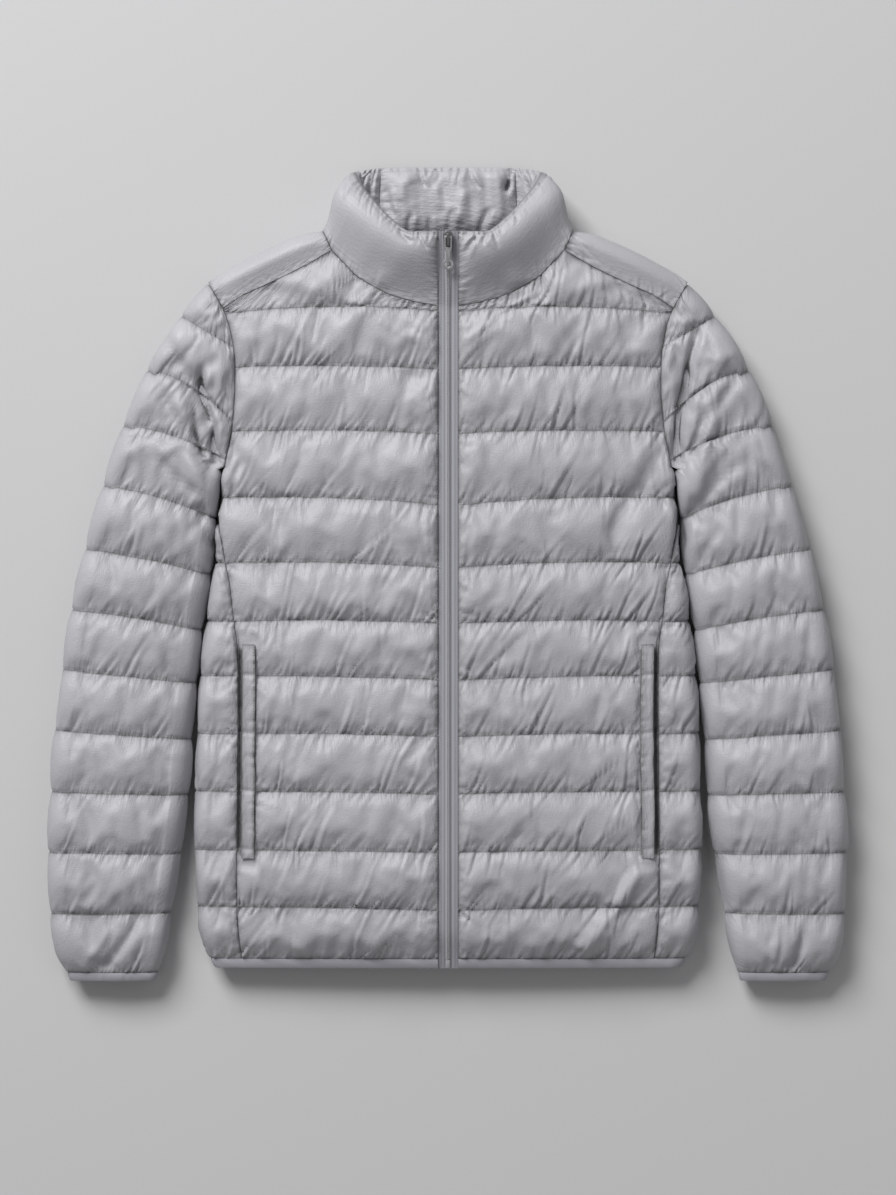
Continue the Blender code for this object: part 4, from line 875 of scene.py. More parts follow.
def welt_cover(at):
    """Share of the front that the welt covers at broken column numbers."""
    first, last = WELT_COLUMNS
    return clip01((WELT_COVER_EDGE - np.maximum(first - at, at - last)) / WELT_COVER_EDGE)


def make_front(side):
    """A quilted front."""
    panel = Panel("front", side)
    at = FRONT_COLUMNS
    first, last = WELT_COLUMNS
    beside = np.where(at < first, (first - at) * WELT_BESIDE[0],
                      np.maximum(0.0, at - last) * WELT_BESIDE[1])
    for channel, step in quilt_rows([LINE_Y[0] + TOP_CHANNEL, *LINE_Y], FINE):
        x, y, width = front_place(channel, step, at)
        point, normal = body_point(girth_at(x, y), y)
        point[:, 1] = y
        loft = facing_loft(normal, width, QUILT_LOFT) * channel_shape(step)
        carried = under_welt(y)
        loft = loft * mix(1.0, 1.0 - WELT_HOLLOW * np.exp(-beside / WELT_HOLLOW_REACH), carried)
        loft = mix(loft, WELT_SEAT, welt_cover(at) * carried)
        panel.add_row(point, normal, loft, body_depth(normal, y), np.abs(width), step, channel)
    return panel.close(len(at))


def back_seam_girth(y):
    """Length round the body of the seam between the side panel and the back."""
    turned = clip01((UNDERARM_Y - y) / BACK_SEAM_TAPER)
    return top_half_width(y) + SIDE_GIRTH + BACK_SEAM_TURN * turned


def make_side(side):
    """A quilted side panel, from the front's seam round to the back's."""
    panel = Panel("side", side)
    for channel, step in quilt_rows(LINE_Y, FINE):
        upper, lower = LINE_Y[channel:channel + 2]
        y = mix(upper, lower, step)
        if y > SIDE_TOP_Y:
            continue
        if not panel.rows:
            y = SIDE_TOP_Y
            step = (upper - y) / (upper - lower)
        girth = np.linspace(girth_at(front_outer(y), y), back_seam_girth(y), SIDE_COLUMNS)
        point, normal = body_point(girth, y)
        width = upper - lower
        loft = facing_loft(normal, width, QUILT_LOFT) * channel_shape(step)
        panel.add_row(point, normal, loft, body_depth(normal, y), width, step, channel + 1)
    return panel.close(SIDE_COLUMNS)


def yoke_section(seam, edge, count):
    """Points, normals and places (0 to YOKE_LAST) over the shoulder, from seam to seam."""
    reach = np.linalg.norm(edge - seam)
    out = (edge - seam) / reach
    top = float(body_top(np.array(seam[0]), np.array(seam[1])))
    centre = seam + out * (reach - YOKE_ROUND)
    place = np.linspace(0.0, YOKE_LAST, count)
    flat = seam + np.minimum(place, YOKE_FLAT)[:, None] / YOKE_FLAT * (centre - seam)
    turned, normal = round_point(*centre, *(out * YOKE_ROUND), top,
                                 ramp(place, YOKE_FLAT, YOKE_TURNED - YOKE_FLAT))
    on_top = (place < YOKE_FLAT)[:, None]
    point = np.where(on_top, np.column_stack([flat, np.full(count, top)]), turned)
    inward = seam + out * (reach - YOKE_UNDER) - centre
    under = centre + inward * clip01(place - YOKE_TURNED)[:, None]
    point[:, :2] = np.where((place > YOKE_TURNED)[:, None], under, point[:, :2])
    return point, normal, place


def make_yoke(side):
    """The plain yoke over the shoulder."""
    panel = Panel("yoke", side)
    last = len(YOKE) - 1
    for place in np.linspace(0.0, last, YOKE_ROWS):
        row = through(YOKE, np.array([place]))[0]
        point, normal, across = yoke_section(row[:2], row[2:], YOKE_COLUMNS)
        along = mix(YOKE_END_LOFT, 1.0, math.sin(math.pi * place / last))
        height = np.where(normal[:, 2] > 0.0, YOKE_LOFT, SIDE_LOFT)
        loft = height * np.sin(math.pi * across / YOKE_LAST) * along
        share = clip01(-normal[:, 2])
        panel.add_row(point, normal, loft, mix(TOP_WALL, under_wall(point[:, 1]), share))
    return panel.close(YOKE_COLUMNS)


def back_edge():
    """x and y of the back's top edge from the centre out."""
    edge = list(reversed(BACK_NECK))
    for row in YOKE:
        seam = np.array(row[:2])
        out = np.array(row[2:]) - seam
        reach = np.linalg.norm(out)
        edge.append(tuple(seam + out / reach * (reach - YOKE_UNDER)))
    return np.array(edge)


def make_back():
    """The quilted back; its underside lies on the surface."""
    panel = Panel("back")
    edge = back_edge()
    at = BACK_COLUMNS
    edge_x, edge_y = (np.interp(at, range(len(edge)), line) for line in edge.T)
    for channel, step in quilt_rows([BACK_TOP_Y, *LINE_Y], BACK_FINE):
        lower = LINE_Y[channel]
        if channel == 0:
            outer = armhole(mix(edge_y[-1], lower, step))
            x = outer * edge_x / edge_x[-1]
            y = mix(edge_y, lower, step)
            width = edge_y - lower
        else:
            upper = LINE_Y[channel - 1]
            y = mix(upper, lower, step)
            girth = np.array([float(back_seam_girth(y))])
            outer = float(armhole(y)) if y > UNDERARM_Y else body_point(girth, y)[0][0, 0]
            x = outer * mix(at / at[-1], edge_x / edge_x[-1], fanned(y))
            width = np.full(len(at), upper - lower)
            y = np.full(len(at), y)
        x = np.concatenate([-x[:0:-1], x])
        y = np.concatenate([y[:0:-1], y])
        width = np.concatenate([width[:0:-1], width])
        point = np.column_stack([x, y, np.full(len(x), UNDER_PINCH)])
        loft = UNDER_PINCH * min(1.0, channel_shape(step) * 1.2)
        panel.add_row(point, -facing_up(len(x)), loft, under_wall(y), width, step, channel)
    return panel.close(len(x))


def sleeve_inner(y):
    """Distance of the sleeve's inner end from the centre: its edge, or the armhole's seam."""
    y = np.asarray(y, float)
    return np.where(y > UNDERARM_Y, armhole(y), curve(SLEEVE_INNER, y))


def sleeve_section(outer_y, inner_y, bow, loft):
    """Points, normals, lofts and depths round the sleeve, from its inner end over the top."""
    is_open = inner_y > UNDERARM_Y
    start = np.array([float(sleeve_inner(inner_y)), inner_y])
    end = np.array([float(curve(SLEEVE_OUTER, outer_y)), outer_y])
    length = np.linalg.norm(end - start) - SIDE_LOFT
    out = (end - start) / np.linalg.norm(end - start)
    top = float(curve(SLEEVE_HEIGHT, outer_y))
    rounding = min(SLEEVE_ROUND, SLEEVE_ROUND_SHARE * length)
    closing = float(clip01((SLEEVE_CLOSING_Y - inner_y) / SLEEVE_CLOSING))
    inner_round = float(curve(SLEEVE_INNER_ROUND, inner_y))
    inner_round = inner_round * mix(SLEEVE_LEAST_ROUND, 1.0, closing)
    first = 0.0 if is_open else (SIDE_LOFT + inner_round) * closing
    last = length - rounding
    top_count, turn_count, under_count, inner_count = SLEEVE_COUNTS
    parts = []

    def add_flat(share, height, normals):
        place = mix(first, last, share)
        spot = start + out * place[:, None]
        parts.append((np.column_stack([spot, height]), normals, place / length))

    def add_turn(place, reach, turn, across):
        point, normal = round_point(*(start + out * place), *(out * reach), top, turn)
        parts.append((point, normal, np.full(len(turn), across)))

    share = np.linspace(0.0, 1.0, top_count)
    crown = SLEEVE_CROWN * 4.0 * share * (1.0 - share)
    add_flat(share, top + crown, facing_up(top_count))
    add_turn(last, rounding, np.linspace(0.0, 1.0, turn_count + 2)[1:-1], 1.0)
    add_flat(np.linspace(1.0, 0.0, under_count), np.full(under_count, UNDER_PINCH),
             -facing_up(under_count))
    if not is_open:
        add_turn(first, -inner_round, np.linspace(1.0, 0.0, inner_count + 2)[1:-1], 0.0)
        parts.append(tuple(part[:1] for part in parts[0]))
    points, normals, across = (np.concatenate(part) for part in zip(*parts))
    points[:, 1] += bow * 4.0 * across * (1.0 - across)
    wall_share = float(ramp(outer_y, CUFF_Y, CUFF_TAPER))
    facing = clip01(-normals[:, 2])
    depth = mix(mix(EDGE_WALL, TOP_WALL, wall_share), mix(EDGE_WALL, SLEEVE_UNDER_WALL, wall_share),
                facing * facing)
    height = mix(SIDE_LOFT, loft, clip01(normals[:, 2]) ** LOFT_FALL)
    return points, normals, height, depth, not is_open


def make_sleeve(side):
    """A quilted sleeve: closed round the arm below the underarm, open to the body above it."""
    panel = Panel("sleeve", side)
    lines = [(row[0] + row[1]) / 2.0 for row in SLEEVE_LINES]
    for channel, step in quilt_rows(lines, FINE):
        low = SLEEVE_LINES[channel]
        high = SLEEVE_LINES[channel + 1]
        outer_y, inner_y, bow = (mix(a, b, step) for a, b in zip(low, high))
        width = ((high[0] - low[0]) + (high[1] - low[1])) / 2.0
        loft = QUILT_LOFT * min(1.0, width / FULL_CHANNEL)
        points, normals, height, depth, ring = sleeve_section(outer_y, inner_y, bow, loft)
        height = height * channel_shape(step)
        panel.add_row(points, normals, height, depth, width, step, channel, ring)
    return panel.close(sum(SLEEVE_COUNTS) + 1)


def collar_edges():
    """Base and top points and normals round the neck, from the zip to the centre back."""
    neck_count, turn_count, back_count = COLLAR_COUNTS
    corner = len(NECK_SEAM) - 1
    neck_at = np.linspace(0.0, corner, neck_count)[:-1]
    neck = through(NECK_SEAM, neck_at)
    turned, normal, across = yoke_section(np.array(YOKE[0][:2]), np.array(YOKE[0][2:]), turn_count)
    back_at = np.linspace(0.0, len(BACK_NECK), back_count)[1:]
    back = through([turned[-1, :2], *BACK_NECK], back_at)
    base = np.concatenate([np.column_stack([neck, body_top(neck[:, 0], neck[:, 1])]), turned,
                           np.column_stack([back, np.full(len(back), UNDER_PINCH)])])
    base_normal = np.concatenate([facing_up(len(neck)), normal, -facing_up(len(back))])
    place = np.concatenate([neck_at, across + corner, back_at + (corner + YOKE_LAST)])
    top = through(COLLAR_TOP_FRONT + COLLAR_TOP_SIDE + COLLAR_TOP_BACK, place)
    angle = np.radians(top[:, 3])
    top_normal = np.column_stack([np.sin(angle), 0.0 * angle, np.cos(angle)])
    return base, base_normal, top[:, :3], top_normal, place


def collar_column(base, base_normal, top, top_normal):
    """Points, normals, lofts and depths up one column of the collar."""
    height = np.linspace(0.0, 1.0, COLLAR_FINE)
    height = height * (1.35 - 0.35 * height)
    point = mix(base, top, height[:, None])
    normal = mix(base_normal, top_normal, height[:, None])
    normal = normal / np.linalg.norm(normal, axis=1)[:, None]
    crown = np.sin(math.pi * height ** 1.35) ** 0.8
    loft = mix(SIDE_LOFT, COLLAR_LOFT, clip01(normal[:, 2])) * crown
    depth = COLLAR_WALL - COLLAR_EDGE_THIN * np.abs(2.0 * height - 1.0) ** COLLAR_EDGE_POWER
    return point, normal, loft, depth


def make_collar(side):
    """The collar's padded side part, from the zip to its seam at the back."""
    panel = Panel("collar", side)
    *edges, place = collar_edges()
    for n in np.flatnonzero(place <= COLLAR_SPLIT + CLOSE):
        panel.add_row(*collar_column(*(part[n] for part in edges)))
    return panel.close(COLLAR_FINE)


def make_collar_back():
    """The collar's centre back part between its two seams."""
    panel = Panel("collar_back")
    *edges, place = collar_edges()
    pick = np.flatnonzero(place >= COLLAR_SPLIT - CLOSE)
    for n in pick:
        panel.add_row(*collar_column(*(part[n] for part in edges)))
    for n in pick[-2::-1]:
        panel.add_row(*collar_column(*(part[n] * MIRROR for part in edges)))
    return panel.close(COLLAR_FINE)


# Puffing the panels up

def new_object(name, data):
    """An object of some data, linked to the scene."""
    thing = bpy.data.objects.new(name, data)
    bpy.context.scene.collection.objects.link(thing)
    return thing


def cloth_object(panel, outer, frames):
    """A panel's skin, cut wider along its stitches than it is sewn, with Blender's cloth on it."""
    centre = np.zeros_like(outer)
    for number in range(len(panel.rows)):
        pick = panel.row_of == number
        centre[pick] = outer[pick].mean(axis=0)
    wide = (centre + (outer - centre) * (1.0 + STRETCH)) * MM
    mesh = bpy.data.meshes.new("skin_" + panel.name)
    mesh.from_pydata(wide.tolist(), [], panel.faces.tolist())
    skin = new_object("skin_" + panel.name, mesh)
    held = np.flatnonzero(held_points(panel)).tolist()
    skin.vertex_groups.new(name="held").add(held, 1.0, "REPLACE")
    gather = skin.vertex_groups.new(name="even")
    levels = np.round(1.0 - np.exp(-panel.to_rim / GATHER_REACH), 2)
    for level in np.unique(levels):
        gather.add(np.flatnonzero(levels == level).tolist(), float(level), "REPLACE")
    skin.shape_key_add(name="Basis")
    sewn = skin.shape_key_add(name="sewn")
    sewn.data.foreach_set("co", (outer * MM).ravel())
    for value, frame_number in ((0.0, 1), (1.0, SEWN_FRAME)):
        sewn.value = value
        sewn.keyframe_insert("value", frame=frame_number)
    modifier = skin.modifiers.new("Cloth", "CLOTH")
    for key, value in CLOTH_SETTINGS.items():
        setattr(modifier.settings, key, value)
    modifier.settings.effector_weights.gravity = 0.0
    modifier.collision_settings.use_collision = False
    modifier.collision_settings.use_self_collision = False
    modifier.point_cache.frame_start = 1
    modifier.point_cache.frame_end = frames + 5
    return skin


def puff_up(jobs, frames):
    """Run the cloth of every panel at once and return where each one's outer points end up."""
    scene = bpy.context.scene
    skins = [cloth_object(panel, outer, frames) for panel, outer in jobs]
    for number in range(1, frames + 1):
        scene.frame_set(number)
    depsgraph = bpy.context.evaluated_depsgraph_get()
    results = []
    for skin, (panel, outer) in zip(skins, jobs):
        mesh = skin.evaluated_get(depsgraph).to_mesh()
        points = np.empty(len(mesh.vertices) * 3)
        mesh.vertices.foreach_get("co", points)
        moved = points.reshape(-1, 3) / MM - outer
        length = np.maximum(np.linalg.norm(moved, axis=1), TINY)
        moved *= np.minimum(1.0, CLOTH_CAP / length)[:, None]
        settled = outer + calmed(panel, moved, 2)
        settled[:, 2] = np.maximum(settled[:, 2], np.minimum(outer[:, 2], LOWEST))
        results.append(settled)
    for skin in skins:
        mesh = skin.data
        bpy.data.objects.remove(skin)
        bpy.data.meshes.remove(mesh)
    scene.frame_set(1)
    return results


def calmed(panel, moved, times):
    """Movements evened out a little along each row; what is held stays."""
    still = np.linalg.norm(moved, axis=1) < STILL
    for _ in range(times):
        evened = moved.copy()
        for number in range(len(panel.rows)):
            places = panel.places(number)
            line = moved[places]
            evened[places[1:-1]] = (line[:-2] + 2.0 * line[1:-1] + line[2:]) / 4.0
        evened[still] = moved[still]
        moved = evened
    return moved


def held_points(panel):
    """Which points of a quilted panel's skin the stitches, seams, floor and welt hold."""
    held = panel.on_rim | (panel.to_stitch < ON_STITCH) | (panel.normals[:, 2] < HELD_FACING)
    if panel.name == "front":
        held |= panel_strip(panel) > WELT_HELD
    return held


def wobble_stitches(panel, outer):
    """Let the stitched rows wander a little, as a gathered seam does."""
    on_line = (panel.to_stitch < ON_STITCH) & ~panel.on_rim & (panel.normals[:, 2] > HELD_FACING)
    seed = panel.seed(500, 13, 77)
    shift = ripple(panel.along + 37.0 * panel.row_of, seed, 4.5)
    drift = ripple(panel.along + 53.0 * panel.row_of, seed + 1, 16.0)
    outer = panel.lifted(outer, on_line * (0.3 * shift - 0.1))
    outer[:, 1] += on_line * (0.25 * shift + 0.45 * drift)
    return outer


# Creases

def creases(pos, away, span, rng, gap, reach, depth, width, lean):
    """Sharp creases that start at a line and run away from it, uneven in every way.

    pos is each point's place along the line and away its distance from it.
    """
    total = np.zeros_like(pos)
    start = rng.uniform(0.0, gap)
    phase = rng.uniform(0.0, math.tau)
    while start < span:
        swell = 0.5 + 0.5 * math.sin(start / CREASE_SWELL + phase)
        length = mix(reach[0], reach[1], rng.random() ** 1.3 * mix(0.45, 1.0, swell))
        way = lean + CREASE_SCATTER * rng.normal()
        bend = CREASE_BEND * rng.normal()
        size = width * mix(0.7, 1.3, rng.random()) * mix(0.75, 1.15, length / reach[1])
        fall = depth * mix(0.4, 1.3, rng.random()) * mix(0.6, 1.15, swell)
        off = pos - start - way * away - bend * away * away
        near = np.abs(off) < 6.0 * size
        off = off[near]
        share = away[near] / length
        body = clip01(1.0 - share) ** 0.7 * clip01(away[near] / 1.5 + 0.15)
        ridge = CREASE_RIDGE * bell(off + 1.9 * size, 1.5 * size)
        total[near] += body * fall * (ridge - bell(off, size))
        start += gap * mix(0.45, 1.6, rng.random())
    return total


def quilt_creases(panel, outer):
    """Creases from the stitches and seams of a quilted panel."""
    height = np.zeros(len(outer))
    seed = panel.seed(9000, 31, 500)
    lean = panel.side * CREASE_LEAN
    is_sleeve = panel.name == "sleeve"
    hem_channel = 0 if is_sleeve else panel.channel.max()
    for channel in np.unique(panel.channel):
        pick = panel.channel == channel
        rng = np.random.default_rng(seed + int(channel))
        pos = panel.along[pick]
        span = float(pos.max())
        width = panel.width[pick]
        low = width * (1.0 - panel.step[pick])
        high = width * panel.step[pick]
        from_low, from_high = LOW_CREASES, HIGH_CREASES
        if is_sleeve:
            low, high = high, low
            from_low, from_high = SLEEVE_LOW_CREASES, SLEEVE_HIGH_CREASES
        rise = creases(pos, low, span, rng, *from_low, lean)
        rise += creases(pos, high, span, rng, *from_high, -lean * 0.7)
        for away in (low, high):
            rise += creases(pos, away, span, rng, *STITCH_PUCKERS, 0.0)
        if channel == hem_channel:
            rise += creases(pos, low, span, rng, *HEM_GATHERS, 0.0)
        if not is_sleeve:
            for place in (low, high):
                rise += creases(place, pos, float(width.max()), rng, *SEAM_CREASES, 0.45)
        inside = np.where(panel.ring[pick], between(pos, 0.0, span, RING_CLEAR), 1.0)
        height[pick] = rise * inside
    height += panel.folds(outer)
    upward = clip01(panel.normals[:, 2] * 1.5 + 0.3)
    height *= upward * clip01(panel.to_stitch / 1.2) * clip01(panel.to_rim / 1.5)
    if panel.name == "front":
        height *= 1.0 - clip01(panel_strip(panel) * 1.5)
        away = welt_distance(outer)
        rng = np.random.default_rng(seed + 90)
        beside = creases(-outer[:, 1], away, -WELT_BOTTOM_Y, rng, *SEAM_CREASES, 0.3)
        height += beside * clip01(away / 2.0) * under_welt(outer[:, 1])
        height -= SLIT_DEPTH * slit_share(outer)
    return panel.lifted(outer, height)


def welt_edge(y, number):
    """Distance from the centre of the welt's stitched (0) or free (1) edge."""
    return mix(ZIP_HALF, front_outer(y), POCKET_COLUMNS[WELT_COLUMNS[number]])


def welt_distance(outer):
    """Distance of each point of the front from the welt's stitched edge, towards the zip."""
    return np.maximum(welt_edge(outer[:, 1], 0) - outer[:, 0], 0.0)


def slit_share(outer):
    """How much a point of the front lies in the pocket's slit, beside the welt's free edge."""
    y = outer[:, 1]
    inside = clip01((y - WELT_BOTTOM_Y - 3.0) / 8.0) * clip01((WELT_TOP_Y - 2.0 - y) / 8.0)
    return inside * bell(outer[:, 0] - welt_edge(y, 1) - 0.1, SLIT_WIDTH)


def closed_gap(panel, outer):
    """Let the sleeve's inner side and the body's side bulge towards each other."""
    facing = -panel.normals[:, 0] if panel.name == "sleeve" else panel.normals[:, 0]
    y = outer[:, 1]
    reach = ramp(y, GAP_START_Y, GAP_TAPER) * clip01((GAP_END_Y - y) / 6.0)
    near_top = ramp(y, 35.0, 50.0)
    bulge = GAP_BULGE * mix(channel_shape(panel.step), 1.0, near_top)
    bulge = bulge * (1.0 + GAP_FULLER * near_top) * reach * clip01(facing * 1.6 - 0.2)
    return panel.lifted(outer, bulge)


def sleeve_leaned(panel, outer):
    """Let a sleeve lie lower towards the body, as it is laid out."""
    y = outer[:, 1]
    away = outer[:, 0] - curve(SLEEVE_INNER, np.minimum(y, SLEEVE_INNER[-1][0]))
    drop = SLEEVE_DROP * clip01(1.0 - away / SLEEVE_DROP_REACH) ** 1.5
    drop = drop * between(y, *SLEEVE_DROP_Y, SLEEVE_DROP_TAPER)
    lowered = outer.copy()
    lowered[:, 2] -= drop * clip01(panel.normals[:, 2] * 1.6)
    return lowered


def edge_groove(panel):
    """Depth of the seam below the collar's top edge."""
    return EDGE_GROOVE * bell(panel.ends - panel.along - EDGE_SEAM, 1.1)


def collar_rolled(panel, outer):
    """The collar's outer points, full below its top edge and rolled over along it."""
    up = panel.along / panel.ends
    upward = clip01(panel.normals[:, 2] * 1.3 - 0.1)
    slack = COLLAR_SIDE_SLACK * np.sin(math.pi * up ** 1.5)
    slack = slack * clip01(1.0 - 1.4 * np.abs(panel.normals[:, 2]))
    near = np.minimum(panel.along, np.minimum(panel.across, panel.span - panel.across))
    full = COLLAR_FULLNESS * np.sin(math.pi * up ** 2) * (1.0 - np.exp(-near / 6))
    roll = clip01((panel.along - panel.ends) / COLLAR_ROLL + 1.0)
    drop = COLLAR_DROP * (1.0 - np.sqrt(1.0 - 0.98 * roll * roll))
    if panel.name == "collar":
        drop = drop * clip01(panel.across / 9.0)
    height = full * upward - slack - drop - edge_groove(panel)
    return panel.lifted(outer, height)


def sharp_folds(x, y, folds):
    """Rise or fall of the narrow folds at points of the top."""
    total = np.zeros_like(x)
    for x0, y0, x1, y1, half_width, rise in folds:
        run_x = x1 - x0
        run_y = y1 - y0
        length = math.hypot(run_x, run_y)
        share = ((x - x0) * run_x + (y - y0) * run_y) / length ** 2
        bow = FOLD_BOW * length * np.sin(math.pi * clip01(share))
        off = ((x - x0) * run_y - (y - y0) * run_x) / length - bow
        inside = clip01(share * 4.0 + 0.3) * clip01((1.0 - share) * 4.0 + 0.3)
        ridge = FOLD_RIDGE * bell(off + 2.0 * half_width, 1.3 * half_width)
        total += rise * inside * (bell(off, half_width) - ridge)
    return total


def panel_strip(panel):
    """Share of the front that the welt covers, by point."""
    shares = np.linspace(0, 1, len(FRONT_COLUMNS))
    at = np.interp(np.linspace(0, 1, len(panel.grid[0])), shares, FRONT_COLUMNS)
    return np.tile(welt_cover(at), len(panel.rows)) * under_welt(panel.points[:, 1])


def plain_creases(panel, outer, edge_plan, end_plan, lean, seed=7000, way=1.0):
    """Creases from the seams of an unquilted panel: along its rows' ends, and its end rows."""
    rng = np.random.default_rng(panel.seed(seed, 31, 500))
    rise = creases(panel.across, panel.along, panel.span, rng, *edge_plan[0], lean)
    rise += creases(panel.across, panel.ends - panel.along, panel.span, rng, *edge_plan[1], -lean)
    for away in (panel.across, panel.span - panel.across):
        rise += creases(panel.along, away, float(panel.ends.max()), rng, *end_plan, 0.2)
    if way > 0.0:
        rise += panel.folds(outer) * clip01(panel.normals[:, 2] * 2.0)
    rise *= clip01(panel.to_rim / 1.2) * way
    return panel.lifted(outer, rise)


def eased(distance, reach):
    """A share that rises from 0 at an edge to 1 at a distance, steeply first."""
    return 1.0 - (1.0 - clip01(distance / reach)) ** 2


def collar_inside(panel):
    """The collar's inner points, padded, waved and gathered from its top edge."""
    seam = panel.span - panel.across
    if panel.name == "collar_back":
        seam = np.minimum(seam, panel.across)
    full = eased(panel.along, 22.0)
    full *= 0.1 + 0.9 * eased(panel.ends - panel.along, 12.0)
    full *= 0.05 + 0.95 * eased(seam, 17.0)
    height = panel.along / panel.ends
    seed = 7700 + len(panel.name) + panel.side
    wave = ripple(panel.across + 7.0 * height, seed, 15.0)
    wave = wave + 0.5 * ripple(panel.across - 4.0 * height, seed + 9, 6.5)
    bulge = COLLAR_BULGE * full + 2.2 * wave * full
    bulge -= edge_groove(panel)
    inner = panel.lifted(panel.points, -(panel.depth + bulge))
    tucks = panel.folds(inner, COLLAR_TUCKS)
    tucks *= clip01(seam / 4.0) * clip01(-panel.normals[:, 2] + 0.2)
    return plain_creases(panel, panel.lifted(inner, -tucks), *COLLAR_INSIDE, 0.1, 8100, -1.0)


# Meshes

def tuck_shade_shares(panel, outer, inner):
    """How deep in a tuck each point of the outer and then of the inner skin lies, which sets the
    painted shade there.
    """
    outer_shade = np.exp(-np.minimum(panel.to_stitch, panel.to_rim) / TUCK_SHADE_REACH)
    if panel.name != "collar_back":
        folds = panel.folds(outer) * clip01(panel.normals[:, 2] * 2.0)
        # painted shade on the floor of each deep fold
        outer_shade = np.maximum(outer_shade, FOLD_SHADE * clip01(-folds / 6.0) ** 1.5)
    if panel.name == "front":
        # painted shade along the welt's stitched edge, and deeper painted shade in the pocket's
        # slit
        seam = np.exp(-welt_distance(outer) / TUCK_SHADE_REACH)
        seam = seam * clip01((WELT_TOP_Y - outer[:, 1]) / 4.0)
        seam = seam * clip01((outer[:, 1] - WELT_BOTTOM_Y) / 4.0)
        outer_shade = np.maximum(outer_shade, np.maximum(seam, 1.3 * slit_share(outer)))
    # painted shade on the inner skin, half as deep as on the outer
    inner_shade = 0.5 * outer_shade
    if panel.name.startswith("collar"):
        # painted shade in the collar's inner tucks, and darker towards the bottom of its inside
        folds = panel.folds(inner, COLLAR_TUCKS)
        inner_shade = np.maximum(inner_shade, FOLD_SHADE * clip01(-folds / 4.5) ** 1.5)
        inner_shade = np.maximum(inner_shade, 1.05 * np.exp(-panel.along / 26.0))
    return np.concatenate([outer_shade, inner_shade])


def wall_mesh(name, panel, outer, inner):
    """A closed wall between an outer and an inner skin, mirrored for the wearer's right."""
    count = len(outer)
    points = np.concatenate([outer, inner]) * panel.flip * MM
    rim = panel.rim
    rims = np.column_stack([rim[:, 1], rim[:, 0], rim[:, 0] + count, rim[:, 1] + count])
    faces = np.concatenate([panel.faces, panel.faces[:, ::-1] + count, rims])
    corners = panel.flat_corners
    spread = np.concatenate([corners, corners[:, ::-1], np.zeros((len(rims), 4, 2))])
    if panel.side < 0:
        faces = faces[:, ::-1]
        spread = spread[:, ::-1] * (-1.0, 1.0)
    mesh = bpy.data.meshes.new(name)
    mesh.from_pydata(points.tolist(), [], faces.tolist())
    mesh.shade_smooth()
    ends = np.empty(2 * len(mesh.edges), int)
    mesh.edges.foreach_get("vertices", ends)
    ends = ends.reshape(-1, 2)
    on_rim = np.tile(panel.on_rim, 2)
    sharp = on_rim[ends].all(axis=1) & ((ends < count).all(axis=1) | (ends >= count).all(axis=1))
    mesh.attributes.new("sharp_edge", "BOOLEAN", "EDGE").data.foreach_set("value", sharp)
    # painted shade: how deep in a tuck each point lies; the nylon is darker there
    tuck = mesh.attributes.new("tuck", "FLOAT", "POINT")
    tuck.data.foreach_set("value", tuck_shade_shares(panel, outer, inner).astype(np.float32))
    layout = mesh.uv_layers.new(name="cut")
    layout.uv.foreach_set("vector", (spread * MM).ravel().astype(np.float32))
    return new_object(name, mesh)


def skin_points(panel):
    """The inner points of a panel, by its depth."""
    return panel.lifted(panel.points, -panel.depth)


def dress(piece, material, body, *nodes):
    """Give a finished piece its material and its body, and hide the loaded nodes that it stands
    for.
    """
    piece.data.materials.clear()
    piece.data.materials.append(bpy.data.materials[material])
    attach(piece, body)
    if nodes:
        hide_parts(*nodes)


# Bindings, welts and the zip

def zip_height(y):
    """Height of the fronts' stitched edges beside the zip, up the body and the collar."""
    y = np.asarray(y, float)
    neck_y = NECK_SEAM[0][1]
    edge = ZIP_HALF * np.ones_like(y)
    share = clip01((y - neck_y) / (COLLAR_TOP_FRONT[0][1] - neck_y))
    return mix(body_top(edge, np.minimum(y, neck_y)), COLLAR_TOP_FRONT[0][2], share)


def make_hem():
    """The binding round the hem, open at the zip."""
    panel = Panel("hem")
    for step, _ in BINDING_PROUD:
        y = mix(HEM_Y, HEM_END_Y, step)
        edge = float(top_half_width(y))
        stops = (ZIP_HALF, edge, edge + SIDE_GIRTH, 2 * edge + SIDE_GIRTH)
        girth = np.concatenate([np.linspace(start, stop, count)[:-1] for start, stop, count
                                in zip(stops, stops[1:], HEM_COUNTS)] + [stops[-1:]])
        point, normal = body_point(girth, y)
        point = np.concatenate([point, point[-2::-1] * MIRROR])
        normal = np.concatenate([normal, normal[-2::-1] * MIRROR])
        panel.add_row(point, normal, binding_rise(point, normal, step, 31), BINDING_DEPTH)
    return panel.close(len(point))


def binding_rise(point, normal, step, seed):
    """How proud a binding is: full in the middle, with small gathers from its seam."""
    along = lengths_along(point)
    proud = np.interp(step, *zip(*BINDING_PROUD))
    gather = 0.35 * ripple(along, seed, 3.6) + 0.3 * ripple(along, seed + 1, 11.0)
    gather = gather * (1.0 - 0.75 * step)
    return np.minimum(proud + gather * clip01(normal[:, 2] + 0.8), BINDING_LIMIT)


def make_cuff(side):
    """The binding round a cuff."""
    panel = Panel("cuff", side)
    for step, _ in BINDING_PROUD:
        y = mix(CUFF_Y, CUFF_END_Y, step)
        point, normal = sleeve_section(y, y, 0.0, 0.0)[:2]
        rise = binding_rise(point, normal, step, 47 + side)
        rise[-1] = rise[0]
        panel.add_row(point, normal, rise, BINDING_DEPTH, ring=True)
    return panel.close(sum(SLEEVE_COUNTS) + 1)


